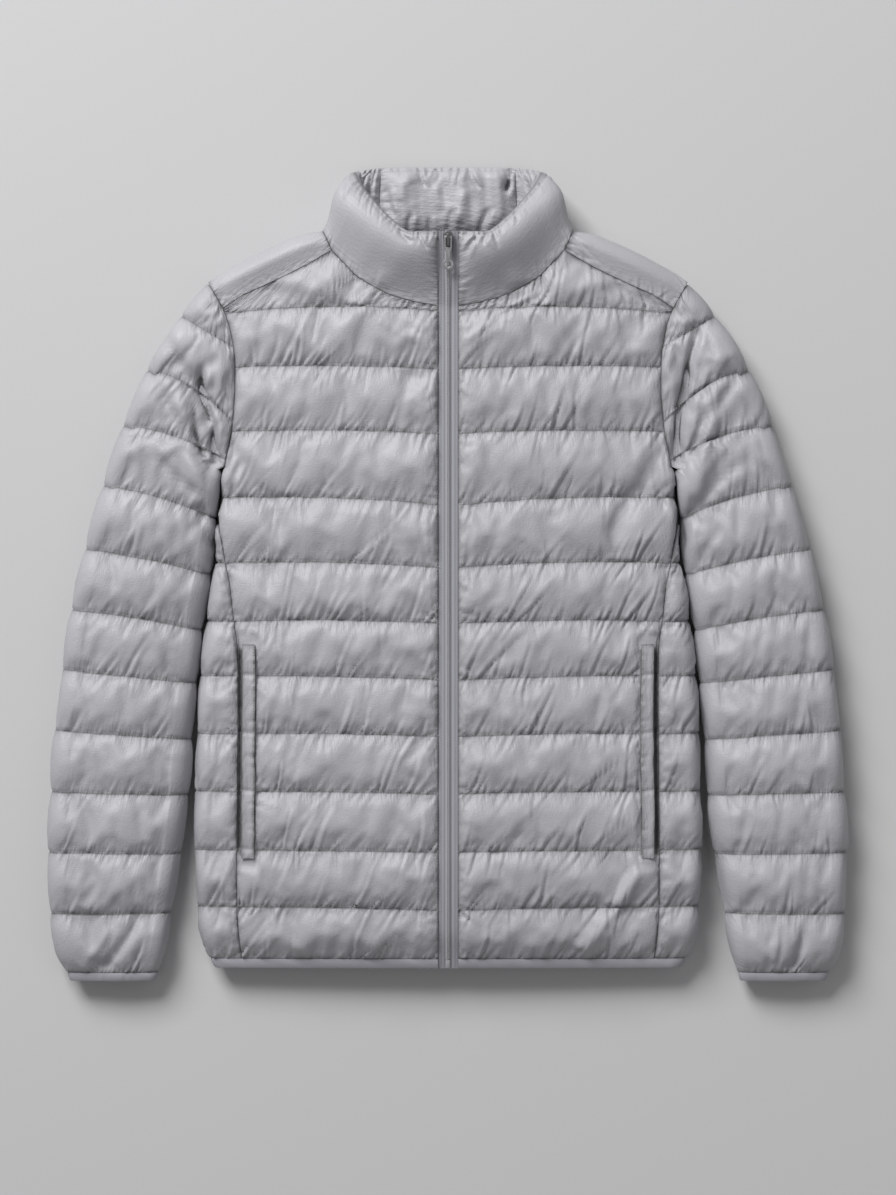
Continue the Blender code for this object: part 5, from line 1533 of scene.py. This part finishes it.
def zip_strip(panel, stations, across, sink, loft, depth):
    """Lay a strip along the zip, by its places up and across, and its loft at each of them."""
    count = len(across)
    for y, z, rise in zip(stations, zip_height(stations) + sink, loft):
        point = np.column_stack([across, np.full(count, y), np.full(count, z)])
        panel.add_row(point, facing_up(count), rise, depth)
    return panel.close(count)


def make_tape(side):
    """A woven zip tape between a front's edge and the coil, ribbed lengthwise."""
    stations = np.linspace(HEM_END_Y, ZIP_TOP_Y, TAPE_ROWS)
    across = np.linspace(TAPE_INNER - SEAM_GAP / 2, ZIP_HALF, TAPE_COLUMNS)
    ridge_at, groove_at, groove = TAPE_RIBS[side]
    rib = 0.45 * bell(across - ridge_at, 0.6) - groove * bell(across - groove_at, 0.65)
    sway = 0.12 * ripple(stations, 61 + side, 14.0)
    return zip_strip(Panel("tape", side), stations, across, -TAPE_SINK, rib + sway[:, None],
                     TAPE_WALL)


def make_coil_core():
    """The woven core that the coil's teeth stand on."""
    stations = np.linspace(COIL_START_Y, ZIP_TOP_Y, COIL_ROWS)
    across = np.linspace(-COIL_HALF, COIL_HALF, COIL_COLUMNS)
    drop = -0.45 - COIL_SHOULDER * (across / COIL_HALF) ** 2
    return zip_strip(Panel("coil"), stations, across, COIL_TOP, [drop] * COIL_ROWS, COIL_WALL)


def welt_channel(y):
    """Step across the quilting's channel that passes under the welt here."""
    for upper, lower in zip(LINE_Y, LINE_Y[1:]):
        if lower <= y <= upper:
            return (upper - y) / (upper - lower)
    return 0.5


def make_welt(side):
    """A pocket's welt: its inner edge stitched and gathered, its outer edge free over a slit."""
    panel = Panel("welt", side)
    free = np.linspace(0.0, 1.0, WELT_FINE)
    at = WELT_COLUMNS[0] + WELT_FREE * free
    seat = WELT_SEAT + SURFACE_GAP
    for y in np.linspace(WELT_TOP_Y, WELT_BOTTOM_Y, WELT_ROWS):
        share = front_share(y, at)
        x = mix(ZIP_HALF, front_outer(y), share) + 0.5 * ripple(y, 79 + side, 13.0)
        point, normal = body_point(girth_at(x, y), y)
        end = min(WELT_TOP_Y - y, y - WELT_BOTTOM_Y)
        gather = 0.8 * ripple(y, 71 + side, 3.4) * np.exp(-free / 0.25)
        soft = 0.5 * ripple(y + 6.0 * free, 75 + side, 11.0) * (1.0 - 0.5 * free)
        soft = soft + 1.4 * (channel_shape(welt_channel(y)) - 0.5)
        rounding = -0.9 * np.exp(-free / 0.08) - 1.9 * math.exp(-end / 5.0)
        rounding = rounding - 0.7 * np.exp(-(1.0 - free) / 0.06)
        crease = np.zeros_like(free)
        for crease_y, reach, depth in WELT_CREASES:
            off = y - crease_y - 2.5 * free
            crease -= depth * bell(off, 1.6) * clip01(1.0 - free / reach)
        for line_y in LINE_Y:
            crease -= 1.2 * bell(y - line_y - 1.2 * free, 1.5)
        loft = seat + WELT_WALL + rounding + gather + soft + crease
        panel.add_row(point, normal, np.maximum(loft, seat + WELT_THINNEST), -seat)
    return panel.close(len(at))


def plain_outer(panel):
    """The outer points of a piece that isn't puffed up."""
    return panel.lifted(panel.points, panel.loft)


# Repeated small parts

def line_mesh(name, lines):
    """A mesh of open lines of points, in metres."""
    points = []
    edges = []
    for line in lines:
        start = len(points)
        points += [tuple(point) for point in line]
        edges += [(n, n + 1) for n in range(start, start + len(line) - 1)]
    mesh = bpy.data.meshes.new(name)
    mesh.from_pydata(points, edges, [])
    return mesh


def linked(tree, *wires):
    """Link sockets by name: a node, its output, another node, its input."""
    for source, output, target, entry in wires:
        tree.links.new(source.outputs[output], target.inputs[entry])


def instance_tree(name, along_line):
    """A node tree that sets small ellipsoids along lines, turned with the line or not."""
    tree = bpy.data.node_groups.new(name, "GeometryNodeTree")
    for label, way, kind in (
            ("Geometry", "INPUT", "Geometry"), ("Geometry", "OUTPUT", "Geometry"),
            ("Pitch", "INPUT", "Float"), ("Size", "INPUT", "Vector"),
            ("Turn", "INPUT", "Vector"), ("Vary", "INPUT", "Float"), ("Seed", "INPUT", "Int"),
            ("Material", "INPUT", "Material")):
        tree.interface.new_socket(label, in_out=way, socket_type="NodeSocket" + kind)
    start, end, to_curve, to_points, sphere, shape, place, vary, lowest, realize, smooth, paint = (
        tree.nodes.new(kind) for kind in (
            "NodeGroupInput", "NodeGroupOutput", "GeometryNodeMeshToCurve",
            "GeometryNodeCurveToPoints", "GeometryNodeMeshUVSphere", "GeometryNodeTransform",
            "GeometryNodeInstanceOnPoints", "FunctionNodeRandomValue", "ShaderNodeMath",
            "GeometryNodeRealizeInstances", "GeometryNodeSetShadeSmooth",
            "GeometryNodeSetMaterial"))
    to_points.mode = "LENGTH"
    for entry, value in (("Segments", 6), ("Rings", 3), ("Radius", 1.0)):
        sphere.inputs[entry].default_value = value
    vary.data_type = "FLOAT"
    lowest.operation = "SUBTRACT"
    lowest.inputs[0].default_value = 1.0
    low, high = [socket for socket in vary.inputs if socket.type == "VALUE"][:2]
    high.default_value = 1.0
    chosen = [socket for socket in vary.outputs if socket.type == "VALUE"][0]
    linked(tree, (start, "Geometry", to_curve, "Mesh"), (to_curve, "Curve", to_points, "Curve"),
           (start, "Pitch", to_points, "Length"), (sphere, "Mesh", shape, "Geometry"),
           (start, "Size", shape, "Scale"), (start, "Turn", shape, "Rotation"),
           (to_points, "Points", place, "Points"), (shape, "Geometry", place, "Instance"),
           (start, "Vary", lowest, 1), (start, "Seed", vary, "Seed"),
           (place, "Instances", realize, "Geometry"), (realize, "Geometry", smooth, "Geometry"),
           (smooth, "Geometry", paint, "Geometry"), (start, "Material", paint, "Material"),
           (paint, "Geometry", end, "Geometry"))
    if along_line:
        linked(tree, (to_points, "Rotation", place, "Rotation"))
    tree.links.new(lowest.outputs[0], low)
    tree.links.new(chosen, place.inputs["Scale"])
    return tree


def set_along(name, tree, lines, material, pitch, size, turn=(0.0, 0.0, 0.0), vary=0.2, seed=1):
    """Set a tree's small parts along lines (in millimetres) and make them a plain mesh."""
    mesh = line_mesh(name + "_lines", [np.asarray(line) * MM for line in lines])
    carrier = new_object(name + "_lines", mesh)
    modifier = carrier.modifiers.new("Parts", "NODES")
    modifier.node_group = tree
    given = {"Pitch": pitch * MM, "Size": [side * MM for side in size], "Turn": list(turn),
             "Vary": vary, "Seed": seed, "Material": bpy.data.materials[material]}
    for item in tree.interface.items_tree:
        if item.in_out == "INPUT" and item.name in given:
            modifier[item.identifier] = given[item.name]
    depsgraph = bpy.context.evaluated_depsgraph_get()
    made = bpy.data.meshes.new_from_object(carrier.evaluated_get(depsgraph))
    made.name = name
    bpy.data.objects.remove(carrier)
    bpy.data.meshes.remove(mesh)
    piece = new_object(name, made)
    dress(piece, material, "jacket")


def merged_copy(node, name, bevel):
    """A fine copy of a loaded solid, its doubled points merged and its edges rounded."""
    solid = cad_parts[node]
    mesh = solid.data.copy()
    mesh.name = name
    shape = bmesh.new()
    shape.from_mesh(mesh)
    shape.transform(solid.matrix_world)
    bmesh.ops.remove_doubles(shape, verts=shape.verts, dist=MERGE_DISTANCE)
    bmesh.ops.dissolve_limit(shape, angle_limit=math.radians(1.0), verts=shape.verts,
                             edges=shape.edges)
    sharp = [edge for edge in shape.edges
             if edge.is_manifold and edge.calc_face_angle(0.0) > BEVEL_ANGLE]
    bmesh.ops.bevel(shape, geom=sharp, offset=bevel * MM, segments=2, profile=0.5,
                    affect="EDGES", clamp_overlap=True)
    shape.to_mesh(mesh)
    shape.free()
    mesh.materials.clear()
    mesh.shade_smooth()
    mesh.set_sharp_from_angle(angle=math.radians(35.0))
    return new_object(name, mesh)


# Materials

def node_group(name, inputs, outputs):
    """An empty shader node group with its number inputs and outputs."""
    tree = bpy.data.node_groups.new(name, "ShaderNodeTree")
    for label, value in inputs:
        socket = tree.interface.new_socket(label, in_out="INPUT", socket_type="NodeSocketFloat")
        socket.default_value = value
    for label in outputs:
        tree.interface.new_socket(label, in_out="OUTPUT", socket_type="NodeSocketFloat")
    return tree, tree.nodes.new("NodeGroupInput"), tree.nodes.new("NodeGroupOutput")


def math_node(tree, operation, *given):
    """A math node of values or sockets, and its output."""
    node = tree.nodes.new("ShaderNodeMath")
    node.operation = operation
    for socket, value in zip(node.inputs, given):
        if isinstance(value, bpy.types.NodeSocket):
            tree.links.new(value, socket)
        else:
            socket.default_value = value
    return node.outputs[0]


def stretched_noise(tree, place, scale, detail, turn=0.0):
    """Noise of its own scale in each direction, per metre, turned about Z, from 0 to 1."""
    if turn:
        spin = tree.nodes.new("ShaderNodeVectorRotate")
        spin.rotation_type = "Z_AXIS"
        spin.inputs["Angle"].default_value = turn
        tree.links.new(place, spin.inputs["Vector"])
        place = spin.outputs["Vector"]
    stretch = tree.nodes.new("ShaderNodeMapping")
    stretch.inputs["Scale"].default_value = scale
    noise = tree.nodes.new("ShaderNodeTexNoise")
    noise.inputs["Scale"].default_value = 1.0
    noise.inputs["Detail"].default_value = detail
    tree.links.new(place, stretch.inputs["Vector"])
    tree.links.new(stretch.outputs["Vector"], noise.inputs["Vector"])
    return noise.outputs["Fac"]


def object_place(tree):
    """A place on the object itself, in metres."""
    return tree.nodes.new("ShaderNodeTexCoord").outputs["Object"]


def make_crinkle_group():
    """Crinkled woven nylon: a bump height in metres, how tucked it is (which also sets the painted
    shade), and an uneven tone.
    """
    inputs = (("Pucker", 0.0003), ("Crease", 0.0002), ("Weave", 0.00021))
    tree, given, put = node_group("crinkled_nylon", inputs, ("Height", "Tuck", "Mottle"))
    place = object_place(tree)
    cut = tree.nodes.new("ShaderNodeUVMap")
    cut.uv_map = "cut"
    flat = cut.outputs["UV"]
    tuck = tree.nodes.new("ShaderNodeAttribute")
    # how tucked the skin is: it scales the bump here and sets the painted shade in the nylon
    tuck.attribute_name = "tuck"
    share = math_node(tree, "MULTIPLY_ADD", tuck.outputs["Fac"], 0.9, 0.1)
    heights = []
    for scale, turn, entry in (((430.0, 60.0, 1.0), 0.15, "Pucker"),
                               ((210.0, 45.0, 1.0), -0.45, "Crease")):
        noise = stretched_noise(tree, flat, scale, 1.0, turn)
        noise = math_node(tree, "MULTIPLY", noise, share)
        heights.append(math_node(tree, "MULTIPLY", noise, given.outputs[entry]))
    for scale in ((900.0, 260.0, 1.0), (300.0, 1000.0, 1.0)):
        grain = stretched_noise(tree, flat, scale, 1.0)
        heights.append(math_node(tree, "MULTIPLY", grain, given.outputs["Weave"]))
    total = heights[0]
    for height in heights[1:]:
        total = math_node(tree, "ADD", total, height)
    mottle = stretched_noise(tree, place, (26.0, 26.0, 26.0), 3.0)
    for socket, entry in ((total, "Height"), (tuck.outputs["Fac"], "Tuck"), (mottle, "Mottle")):
        tree.links.new(socket, put.inputs[entry])


def make_weave_group():
    """Ribs of a woven tape: a bump height in metres and a mask of its dips."""
    tree, given, put = node_group("woven_ribs", (("Rib", 0.0001), ("Pitch", 0.0011)),
                                  ("Height", "Dip"))
    parts = tree.nodes.new("ShaderNodeSeparateXYZ")
    tree.links.new(object_place(tree), parts.inputs["Vector"])
    turn = math_node(tree, "DIVIDE", 2.0 * math.pi, given.outputs["Pitch"])
    across, along = (math_node(tree, "SINE", math_node(tree, "MULTIPLY", parts.outputs[way], turn))
                     for way in "XY")
    both = math_node(tree, "MULTIPLY", across, along)
    dip = math_node(tree, "MULTIPLY_ADD", both, 0.5, 0.5)
    height = math_node(tree, "MULTIPLY", dip, given.outputs["Rib"])
    tree.links.new(height, put.inputs["Height"])
    tree.links.new(dip, put.inputs["Dip"])


def blank_material(name, colour, roughness, metallic=0.0):
    """A material with only its Principled shader, and that shader."""
    material = bpy.data.materials.new(name)
    material.use_nodes = True
    shader = material.node_tree.nodes["Principled BSDF"]
    shader.inputs["Base Color"].default_value = (*colour, 1.0)
    shader.inputs["Roughness"].default_value = roughness
    shader.inputs["Metallic"].default_value = metallic
    return material, shader


def colour_between(tree, low, high, factor):
    """A mix of two colours by a socket, and its output."""
    blend = tree.nodes.new("ShaderNodeMix")
    blend.data_type = "RGBA"
    sockets = [socket for socket in blend.inputs if socket.type == "RGBA"]
    for socket, colour in zip(sockets, (low, high)):
        socket.default_value = (*colour, 1.0)
    tree.links.new(factor, blend.inputs[0])
    return [socket for socket in blend.outputs if socket.type == "RGBA"][0]


def scaled(colour, share):
    """A colour made lighter or darker."""
    return tuple(min(1.0, channel * share) for channel in colour)


def shared_group(tree, name, values):
    """A shared node group in a material, with its inputs' values."""
    group = tree.nodes.new("ShaderNodeGroup")
    group.node_tree = bpy.data.node_groups[name]
    for label, value in values.items():
        group.inputs[label].default_value = value
    return group


def add_bump(tree, group, shader):
    """Raise a material's surface by its group's height, which is in metres."""
    bump = tree.nodes.new("ShaderNodeBump")
    bump.inputs["Strength"].default_value = 1.0
    bump.inputs["Distance"].default_value = 1.0
    linked(tree, (group, "Height", bump, "Height"), (bump, "Normal", shader, "Normal"))


def make_nylon(name, colour, roughness, pucker, crease):
    """Satin nylon, with painted shade in its tucks: darker and duller there."""
    material, shader = blank_material(name, colour, roughness)
    tree = material.node_tree
    group = shared_group(tree, "crinkled_nylon", {"Pucker": pucker, "Crease": crease})
    # painted shade: the colour darkens with how tucked the skin is; the mottle is an uneven tone of
    # its own
    depth = math_node(tree, "MULTIPLY", math_node(tree, "POWER", group.outputs["Tuck"], 3.0), 0.74)
    worn = math_node(tree, "MULTIPLY", group.outputs["Mottle"], 0.2)
    factor = math_node(tree, "ADD", depth, worn)
    tint = colour_between(tree, scaled(colour, 1.1), scaled(colour, 0.28), factor)
    rough = math_node(tree, "MULTIPLY_ADD", group.outputs["Mottle"], 0.12, roughness - 0.06)
    tree.links.new(tint, shader.inputs["Base Color"])
    tree.links.new(rough, shader.inputs["Roughness"])
    add_bump(tree, group, shader)


def make_woven(name, colour, roughness, rib, pitch):
    """A matte woven tape or thread, with painted shade making its dips a little darker."""
    material, shader = blank_material(name, colour, roughness)
    tree = material.node_tree
    group = shared_group(tree, "woven_ribs", {"Rib": rib, "Pitch": pitch})
    # painted shade: the colour is darker where the ribs dip
    tint = colour_between(tree, scaled(colour, 0.85), scaled(colour, 1.05), group.outputs["Dip"])
    tree.links.new(tint, shader.inputs["Base Color"])
    add_bump(tree, group, shader)


def make_metal(name, colour, roughness):
    """Cast metal, with a fine uneven polish."""
    material, shader = blank_material(name, colour, roughness, 1.0)
    tree = material.node_tree
    grain = stretched_noise(tree, object_place(tree), (900.0, 900.0, 900.0), 3.0)
    rough = math_node(tree, "MULTIPLY_ADD", grain, 0.2, roughness - 0.1)
    tree.links.new(rough, shader.inputs["Roughness"])


# Settings and operators

class JacketSettings(bpy.types.PropertyGroup):
    """Sizes and colours that can be changed before the jacket is made again."""

    fabric: FloatVectorProperty(name="Fabric", description="Colour of the quilted nylon",
                                subtype="COLOR", default=(0.365, 0.36, 0.383))
    binding: FloatVectorProperty(name="Binding", description="Colour of the hem and cuff binding",
                                 subtype="COLOR", default=(0.35, 0.35, 0.354))
    tape: FloatVectorProperty(name="Zip tape", description="Colour of the zip's woven tape",
                              subtype="COLOR", default=(0.222, 0.221, 0.227))
    coil: FloatVectorProperty(name="Zip coil", description="Colour of the zip's coil",
                              subtype="COLOR", default=(0.085, 0.085, 0.09))
    thread: FloatVectorProperty(name="Thread", description="Colour of the stitching",
                                subtype="COLOR", default=(0.33, 0.328, 0.34))
    metal: FloatVectorProperty(name="Metal", description="Colour of the slider and pull tab",
                               subtype="COLOR", default=(0.56, 0.56, 0.57))
    stitch_pitch: FloatProperty(name="Stitch pitch", description="Distance between stitches",
                                subtype="DISTANCE", unit="LENGTH", default=STITCH_PITCH * MM)
    tooth_pitch: FloatProperty(name="Tooth pitch", description="Distance between the coil's turns",
                               subtype="DISTANCE", unit="LENGTH", default=TOOTH_PITCH * MM)
    cloth_frames: IntProperty(name="Cloth frames", description="How long the cloth settles",
                              default=CLOTH_FRAMES, min=0, max=60)
    light: FloatProperty(name="Key light", description="Power of the large light",
                         subtype="POWER", unit="POWER", default=305.0)


# Material, how it is made, its colour's setting and a share of it, roughness and fine sizes
MATERIALS = (
    ("nylon", make_nylon, "fabric", 1.0, (0.53, 0.0013, 0.0012)),
    ("nylon_plain", make_nylon, "fabric", 1.0, (0.53, 0.0013, 0.0012)),
    ("binding", make_nylon, "binding", 1.0, (0.72, 0.0003, 0.0001)),
    ("tape", make_woven, "tape", 1.0, (0.7, 0.00012, 0.0011)),
    ("coil", make_woven, "coil", 1.0, (0.45, 0.00004, 0.0009)),
    ("thread", make_woven, "thread", 1.0, (0.6, 0.00005, 0.0007)),
    ("metal", make_metal, "metal", 1.0, (0.32,)),
    ("metal_dark", make_metal, "metal", 0.42, (0.4,)),
)

# The panels by name, and the outer and inner points of those that are puffed up
PANELS = {}
OUTER = {}
INNER = {}


class JACKET_OT_materials(bpy.types.Operator):
    """Make the fabric, tape, thread and metal"""

    bl_idname = "jacket.materials"
    bl_label = "Materials"

    def execute(self, context):
        make_crinkle_group()
        make_weave_group()
        for name, make, setting, share, looks in MATERIALS:
            make(name, scaled(getattr(context.scene.jacket, setting), share), *looks)
        return {"FINISHED"}


class JACKET_OT_panels(bpy.types.Operator):
    """Lay out every panel and let its filling puff it up between the stitches"""

    bl_idname = "jacket.panels"
    bl_label = "Puff up the panels"

    def execute(self, context):
        for side, word in SIDES:
            for name, make in (("front_", make_front), ("side_", make_side), ("yoke_", make_yoke),
                               ("sleeve_", make_sleeve), ("collar_", make_collar)):
                PANELS[name + word] = make(side)
        PANELS["back"] = make_back()
        PANELS["collar_back"] = make_collar_back()
        for name, panel in PANELS.items():
            OUTER[name] = panel.rise()
            if panel.name in PUFFED:
                OUTER[name] = wobble_stitches(panel, OUTER[name])
        frames = context.scene.jacket.cloth_frames
        if frames:
            puffed = [name for name, panel in PANELS.items() if panel.name in PUFFED]
            settled = puff_up([(PANELS[name], OUTER[name]) for name in puffed], frames)
            OUTER.update(zip(puffed, settled))
        for name, panel in list(PANELS.items()):
            if panel.name in PUFFED:
                panel, outer = panel.refined(OUTER[name])
                if panel.name != "front":
                    outer = closed_gap(panel, outer)
                if panel.name == "sleeve":
                    outer = sleeve_leaned(panel, outer)
                PANELS[name] = panel
                OUTER[name] = quilt_creases(panel, outer)
            elif panel.name == "yoke":
                OUTER[name] = plain_creases(panel, OUTER[name], *YOKE_CREASES, 0.2)
            elif panel.name.startswith("collar"):
                rolled = collar_rolled(panel, OUTER[name])
                OUTER[name] = plain_creases(panel, rolled, *COLLAR_CREASES, 0.1)
                INNER[name] = collar_inside(panel)
        return {"FINISHED"}


def put_wall(name, piece_name, material):
    panel = PANELS[name]
    outer = OUTER[name]
    shift = seam_shift(panel, outer)
    inner = INNER.get(name, skin_points(panel))
    piece = wall_mesh(piece_name, panel, outer + shift, inner + shift)
    dress(piece, material, "jacket", name)


def put_walls(name, piece_name, material="nylon", middle=False):
    """Make a left and a right wall, and one at the middle of the back where there is one."""
    for word in ("left", "right", "back")[:3 if middle else 2]:
        put_wall(f"{name}_{word}", f"{piece_name}_{word}", material)
    return {"FINISHED"}


class JACKET_OT_fronts(bpy.types.Operator):
    """Make the two quilted fronts"""

    bl_idname = "jacket.fronts"
    bl_label = "Fronts"

    def execute(self, context):
        return put_walls("front", "quilted_front")


class JACKET_OT_sides(bpy.types.Operator):
    """Make the quilted side panels and the quilted back"""

    bl_idname = "jacket.sides"
    bl_label = "Side panels and back"

    def execute(self, context):
        put_walls("side", "quilted_side")
        put_wall("back", "quilted_back", "nylon")
        return {"FINISHED"}


class JACKET_OT_yokes(bpy.types.Operator):
    """Make the plain yokes over the shoulders"""

    bl_idname = "jacket.yokes"
    bl_label = "Yokes"

    def execute(self, context):
        return put_walls("yoke", "shoulder_yoke", "nylon_plain")


class JACKET_OT_sleeves(bpy.types.Operator):
    """Make the two quilted sleeves"""

    bl_idname = "jacket.sleeves"
    bl_label = "Sleeves"

    def execute(self, context):
        return put_walls("sleeve", "quilted_sleeve")


class JACKET_OT_collar(bpy.types.Operator):
    """Make the padded stand collar in its three parts"""

    bl_idname = "jacket.collar"
    bl_label = "Collar"

    def execute(self, context):
        return put_walls("collar", "stand_collar", "nylon_plain", middle=True)


def put_sheet(panel, piece_name, material, node):
    PANELS[node] = panel
    outer = plain_outer(panel)
    shift = seam_shift(panel, outer)
    piece = wall_mesh(piece_name, panel, outer + shift, skin_points(panel) + shift)
    dress(piece, material, "jacket", node)


class JACKET_OT_bindings(bpy.types.Operator):
    """Make the binding round the hem and the cuffs"""

    bl_idname = "jacket.bindings"
    bl_label = "Bindings"

    def execute(self, context):
        hem = make_hem()
        put_sheet(hem, "hem_binding_cloth", "binding", "hem_binding")
        for side, word in SIDES:
            cuff = make_cuff(side)
            put_sheet(cuff, "cuff_binding_cloth_" + word, "binding", "cuff_binding_" + word)
        return {"FINISHED"}


class JACKET_OT_welts(bpy.types.Operator):
    """Make the pockets' welts"""

    bl_idname = "jacket.welts"
    bl_label = "Pocket welts"

    def execute(self, context):
        for side, word in SIDES:
            welt = make_welt(side)
            put_sheet(welt, "pocket_welt_cloth_" + word, "nylon_plain", "pocket_welt_" + word)
        return {"FINISHED"}


class JACKET_OT_zip(bpy.types.Operator):
    """Make the zip's tapes, its coil, its bottom end, its slider and its pull tab"""

    bl_idname = "jacket.zip"
    bl_label = "Zip"

    def execute(self, context):
        for side, word in SIDES:
            put_sheet(make_tape(side), "woven_tape_" + word, "tape", "zip_tape_" + word)
        core = make_coil_core()
        piece = wall_mesh("coil_core", core, plain_outer(core), skin_points(core))
        dress(piece, "coil", "jacket", "zip_coil")
        tree = instance_tree("coil_turns", False)
        pitch = context.scene.jacket.tooth_pitch / MM
        for side, word in SIDES:
            y = np.linspace(COIL_START_Y + (0.5 * pitch if side > 0 else 0.0), ZIP_TOP_Y, COIL_ROWS)
            line = np.column_stack([np.full(COIL_ROWS, side * 0.9), y,
                                    zip_height(y) + COIL_TOP - 0.35])
            set_along("coil_turns_" + word, tree, [line], "coil", pitch, TURN_SIZE,
                      (0.0, side * 0.35, side * 0.3), 0.05, 3)
        for node, name, bevel, material, body in ZIP_HARDWARE:
            dress(merged_copy(node, name, bevel), material, body, node)
        return {"FINISHED"}


def stitch_lines(name):
    """The stitched rows of a puffed panel, a hair above its outer points."""
    panel = PANELS[name]
    shown = (OUTER[name] + STITCH_LIFT * panel.normals) * panel.flip
    return [shown[panel.places(number)] for number, row in enumerate(panel.rows[1:-1], 1)
            if not ON_STITCH <= row["step"] <= 1.0 - ON_STITCH]


def edge_line(name, column, inward, lift=0.15):
    """A line of topstitching beside one edge of a panel."""
    panel = PANELS[name]
    outer = OUTER[name] if name in OUTER else plain_outer(panel)
    here = panel.grid[:, column]
    line = mix(outer[here], outer[panel.grid[:, inward]], EDGE_STITCH_SHARE)
    return (line + lift * panel.normals[here]) * panel.flip


def inside_line(name, column):
    """A line of topstitching on the inner side of the collar, below its top edge."""
    panel = PANELS[name]
    here = panel.grid[:, column]
    return (INNER[name][here] - 0.15 * panel.normals[here]) * panel.flip


class JACKET_OT_stitching(bpy.types.Operator):
    """Sew the quilting and the edges with small stitches"""

    bl_idname = "jacket.stitching"
    bl_label = "Stitching"

    def execute(self, context):
        tree = instance_tree("sewn_stitches", True)
        pitch = context.scene.jacket.stitch_pitch / MM
        for number, name in enumerate(OUTER):
            if PANELS[name].name not in (*PUFFED, "back"):
                continue
            lines = stitch_lines(name)
            if name.startswith("front"):
                lines.append(edge_line(name, 0, 1))
            set_along("stitches_" + name, tree, lines, "thread", pitch, STITCH_SIZE, seed=number)
        for _, word in SIDES:
            lines = [edge_line("zip_tape_" + word, 5, 6, 0.1),
                     edge_line("pocket_welt_" + word, 1, 2, 0.2),
                     edge_line("collar_" + word, -4, -5, 0.1), inside_line("collar_" + word, -5)]
            if word == "left":
                lines.append(inside_line("collar_back", -5))
            set_along("stitches_edges_" + word, tree, lines, "thread", EDGE_STITCH_PITCH,
                      EDGE_STITCH_SIZE, seed=40)
        return {"FINISHED"}


class JACKET_OT_stage(bpy.types.Operator):
    """Set the floor, the soft lights and the camera"""

    bl_idname = "jacket.stage"
    bl_label = "Stage"

    def execute(self, context):
        scene = context.scene
        mesh = bpy.data.meshes.new("floor")
        corners = [(x * FLOOR_HALF, y * FLOOR_HALF, FLOOR_Z)
                   for x, y in ((-1, -1), (1, -1), (1, 1), (-1, 1))]
        mesh.from_pydata(corners, [], [(0, 1, 2, 3)])
        floor = new_object("floor", mesh)
        material, _ = blank_material("floor", FLOOR_COLOUR, 0.9)
        mesh.materials.append(material)
        for name, place, size, share in LIGHTS:
            light = bpy.data.lights.new(name, "AREA")
            light.energy = scene.jacket.light * share
            light.size = size
            lamp = new_object(name, light)
            lamp.location = place
            aim = Vector(LIGHT_AIM) - Vector(place)
            lamp.rotation_euler = aim.to_track_quat("-Z", "Y").to_euler()
        world = bpy.data.worlds.new("world")
        world.use_nodes = True
        back = world.node_tree.nodes["Background"]
        back.inputs["Color"].default_value = WORLD_COLOUR
        back.inputs["Strength"].default_value = WORLD_LIGHT
        scene.world = world
        camera = bpy.data.cameras.new("camera")
        camera.sensor_fit = "VERTICAL"
        camera.sensor_width = SENSOR
        camera.sensor_height = SENSOR
        camera.lens = SENSOR * (CAMERA_HEIGHT - CAMERA_FOCUS) / CAMERA_VIEW
        camera.dof.use_dof = False
        eye = new_object("camera", camera)
        eye.location = (0.0, CAMERA_Y, CAMERA_HEIGHT)
        scene.camera = eye
        scene.view_settings.view_transform = "Standard"
        return {"FINISHED"}


OPERATORS = (
    JACKET_OT_materials, JACKET_OT_panels, JACKET_OT_fronts, JACKET_OT_sides, JACKET_OT_yokes,
    JACKET_OT_sleeves, JACKET_OT_collar, JACKET_OT_bindings, JACKET_OT_welts, JACKET_OT_zip,
    JACKET_OT_stitching, JACKET_OT_stage,
)


class JACKET_PT_panel(bpy.types.Panel):
    """The jacket's settings and steps"""

    bl_label = "Jacket"
    bl_idname = "JACKET_PT_panel"
    bl_space_type = "VIEW_3D"
    bl_region_type = "UI"
    bl_category = "Jacket"

    def draw(self, context):
        for key in JacketSettings.__annotations__:
            self.layout.prop(context.scene.jacket, key)
        for operator in OPERATORS:
            self.layout.operator(operator.bl_idname)


CLASSES = (JacketSettings, *OPERATORS, JACKET_PT_panel)


def register():
    """Add the settings, the steps and the sidebar panel."""
    for part in CLASSES:
        bpy.utils.register_class(part)
    bpy.types.Scene.jacket = PointerProperty(type=JacketSettings)


def unregister():
    """Take them away again."""
    del bpy.types.Scene.jacket
    for part in reversed(CLASSES):
        bpy.utils.unregister_class(part)


def main():
    """Make the whole jacket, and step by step."""
    register()
    for operator in OPERATORS:
        group, name = operator.bl_idname.split(".")
        getattr(getattr(bpy.ops, group), name)()


if __name__ == "__main__":
    main()
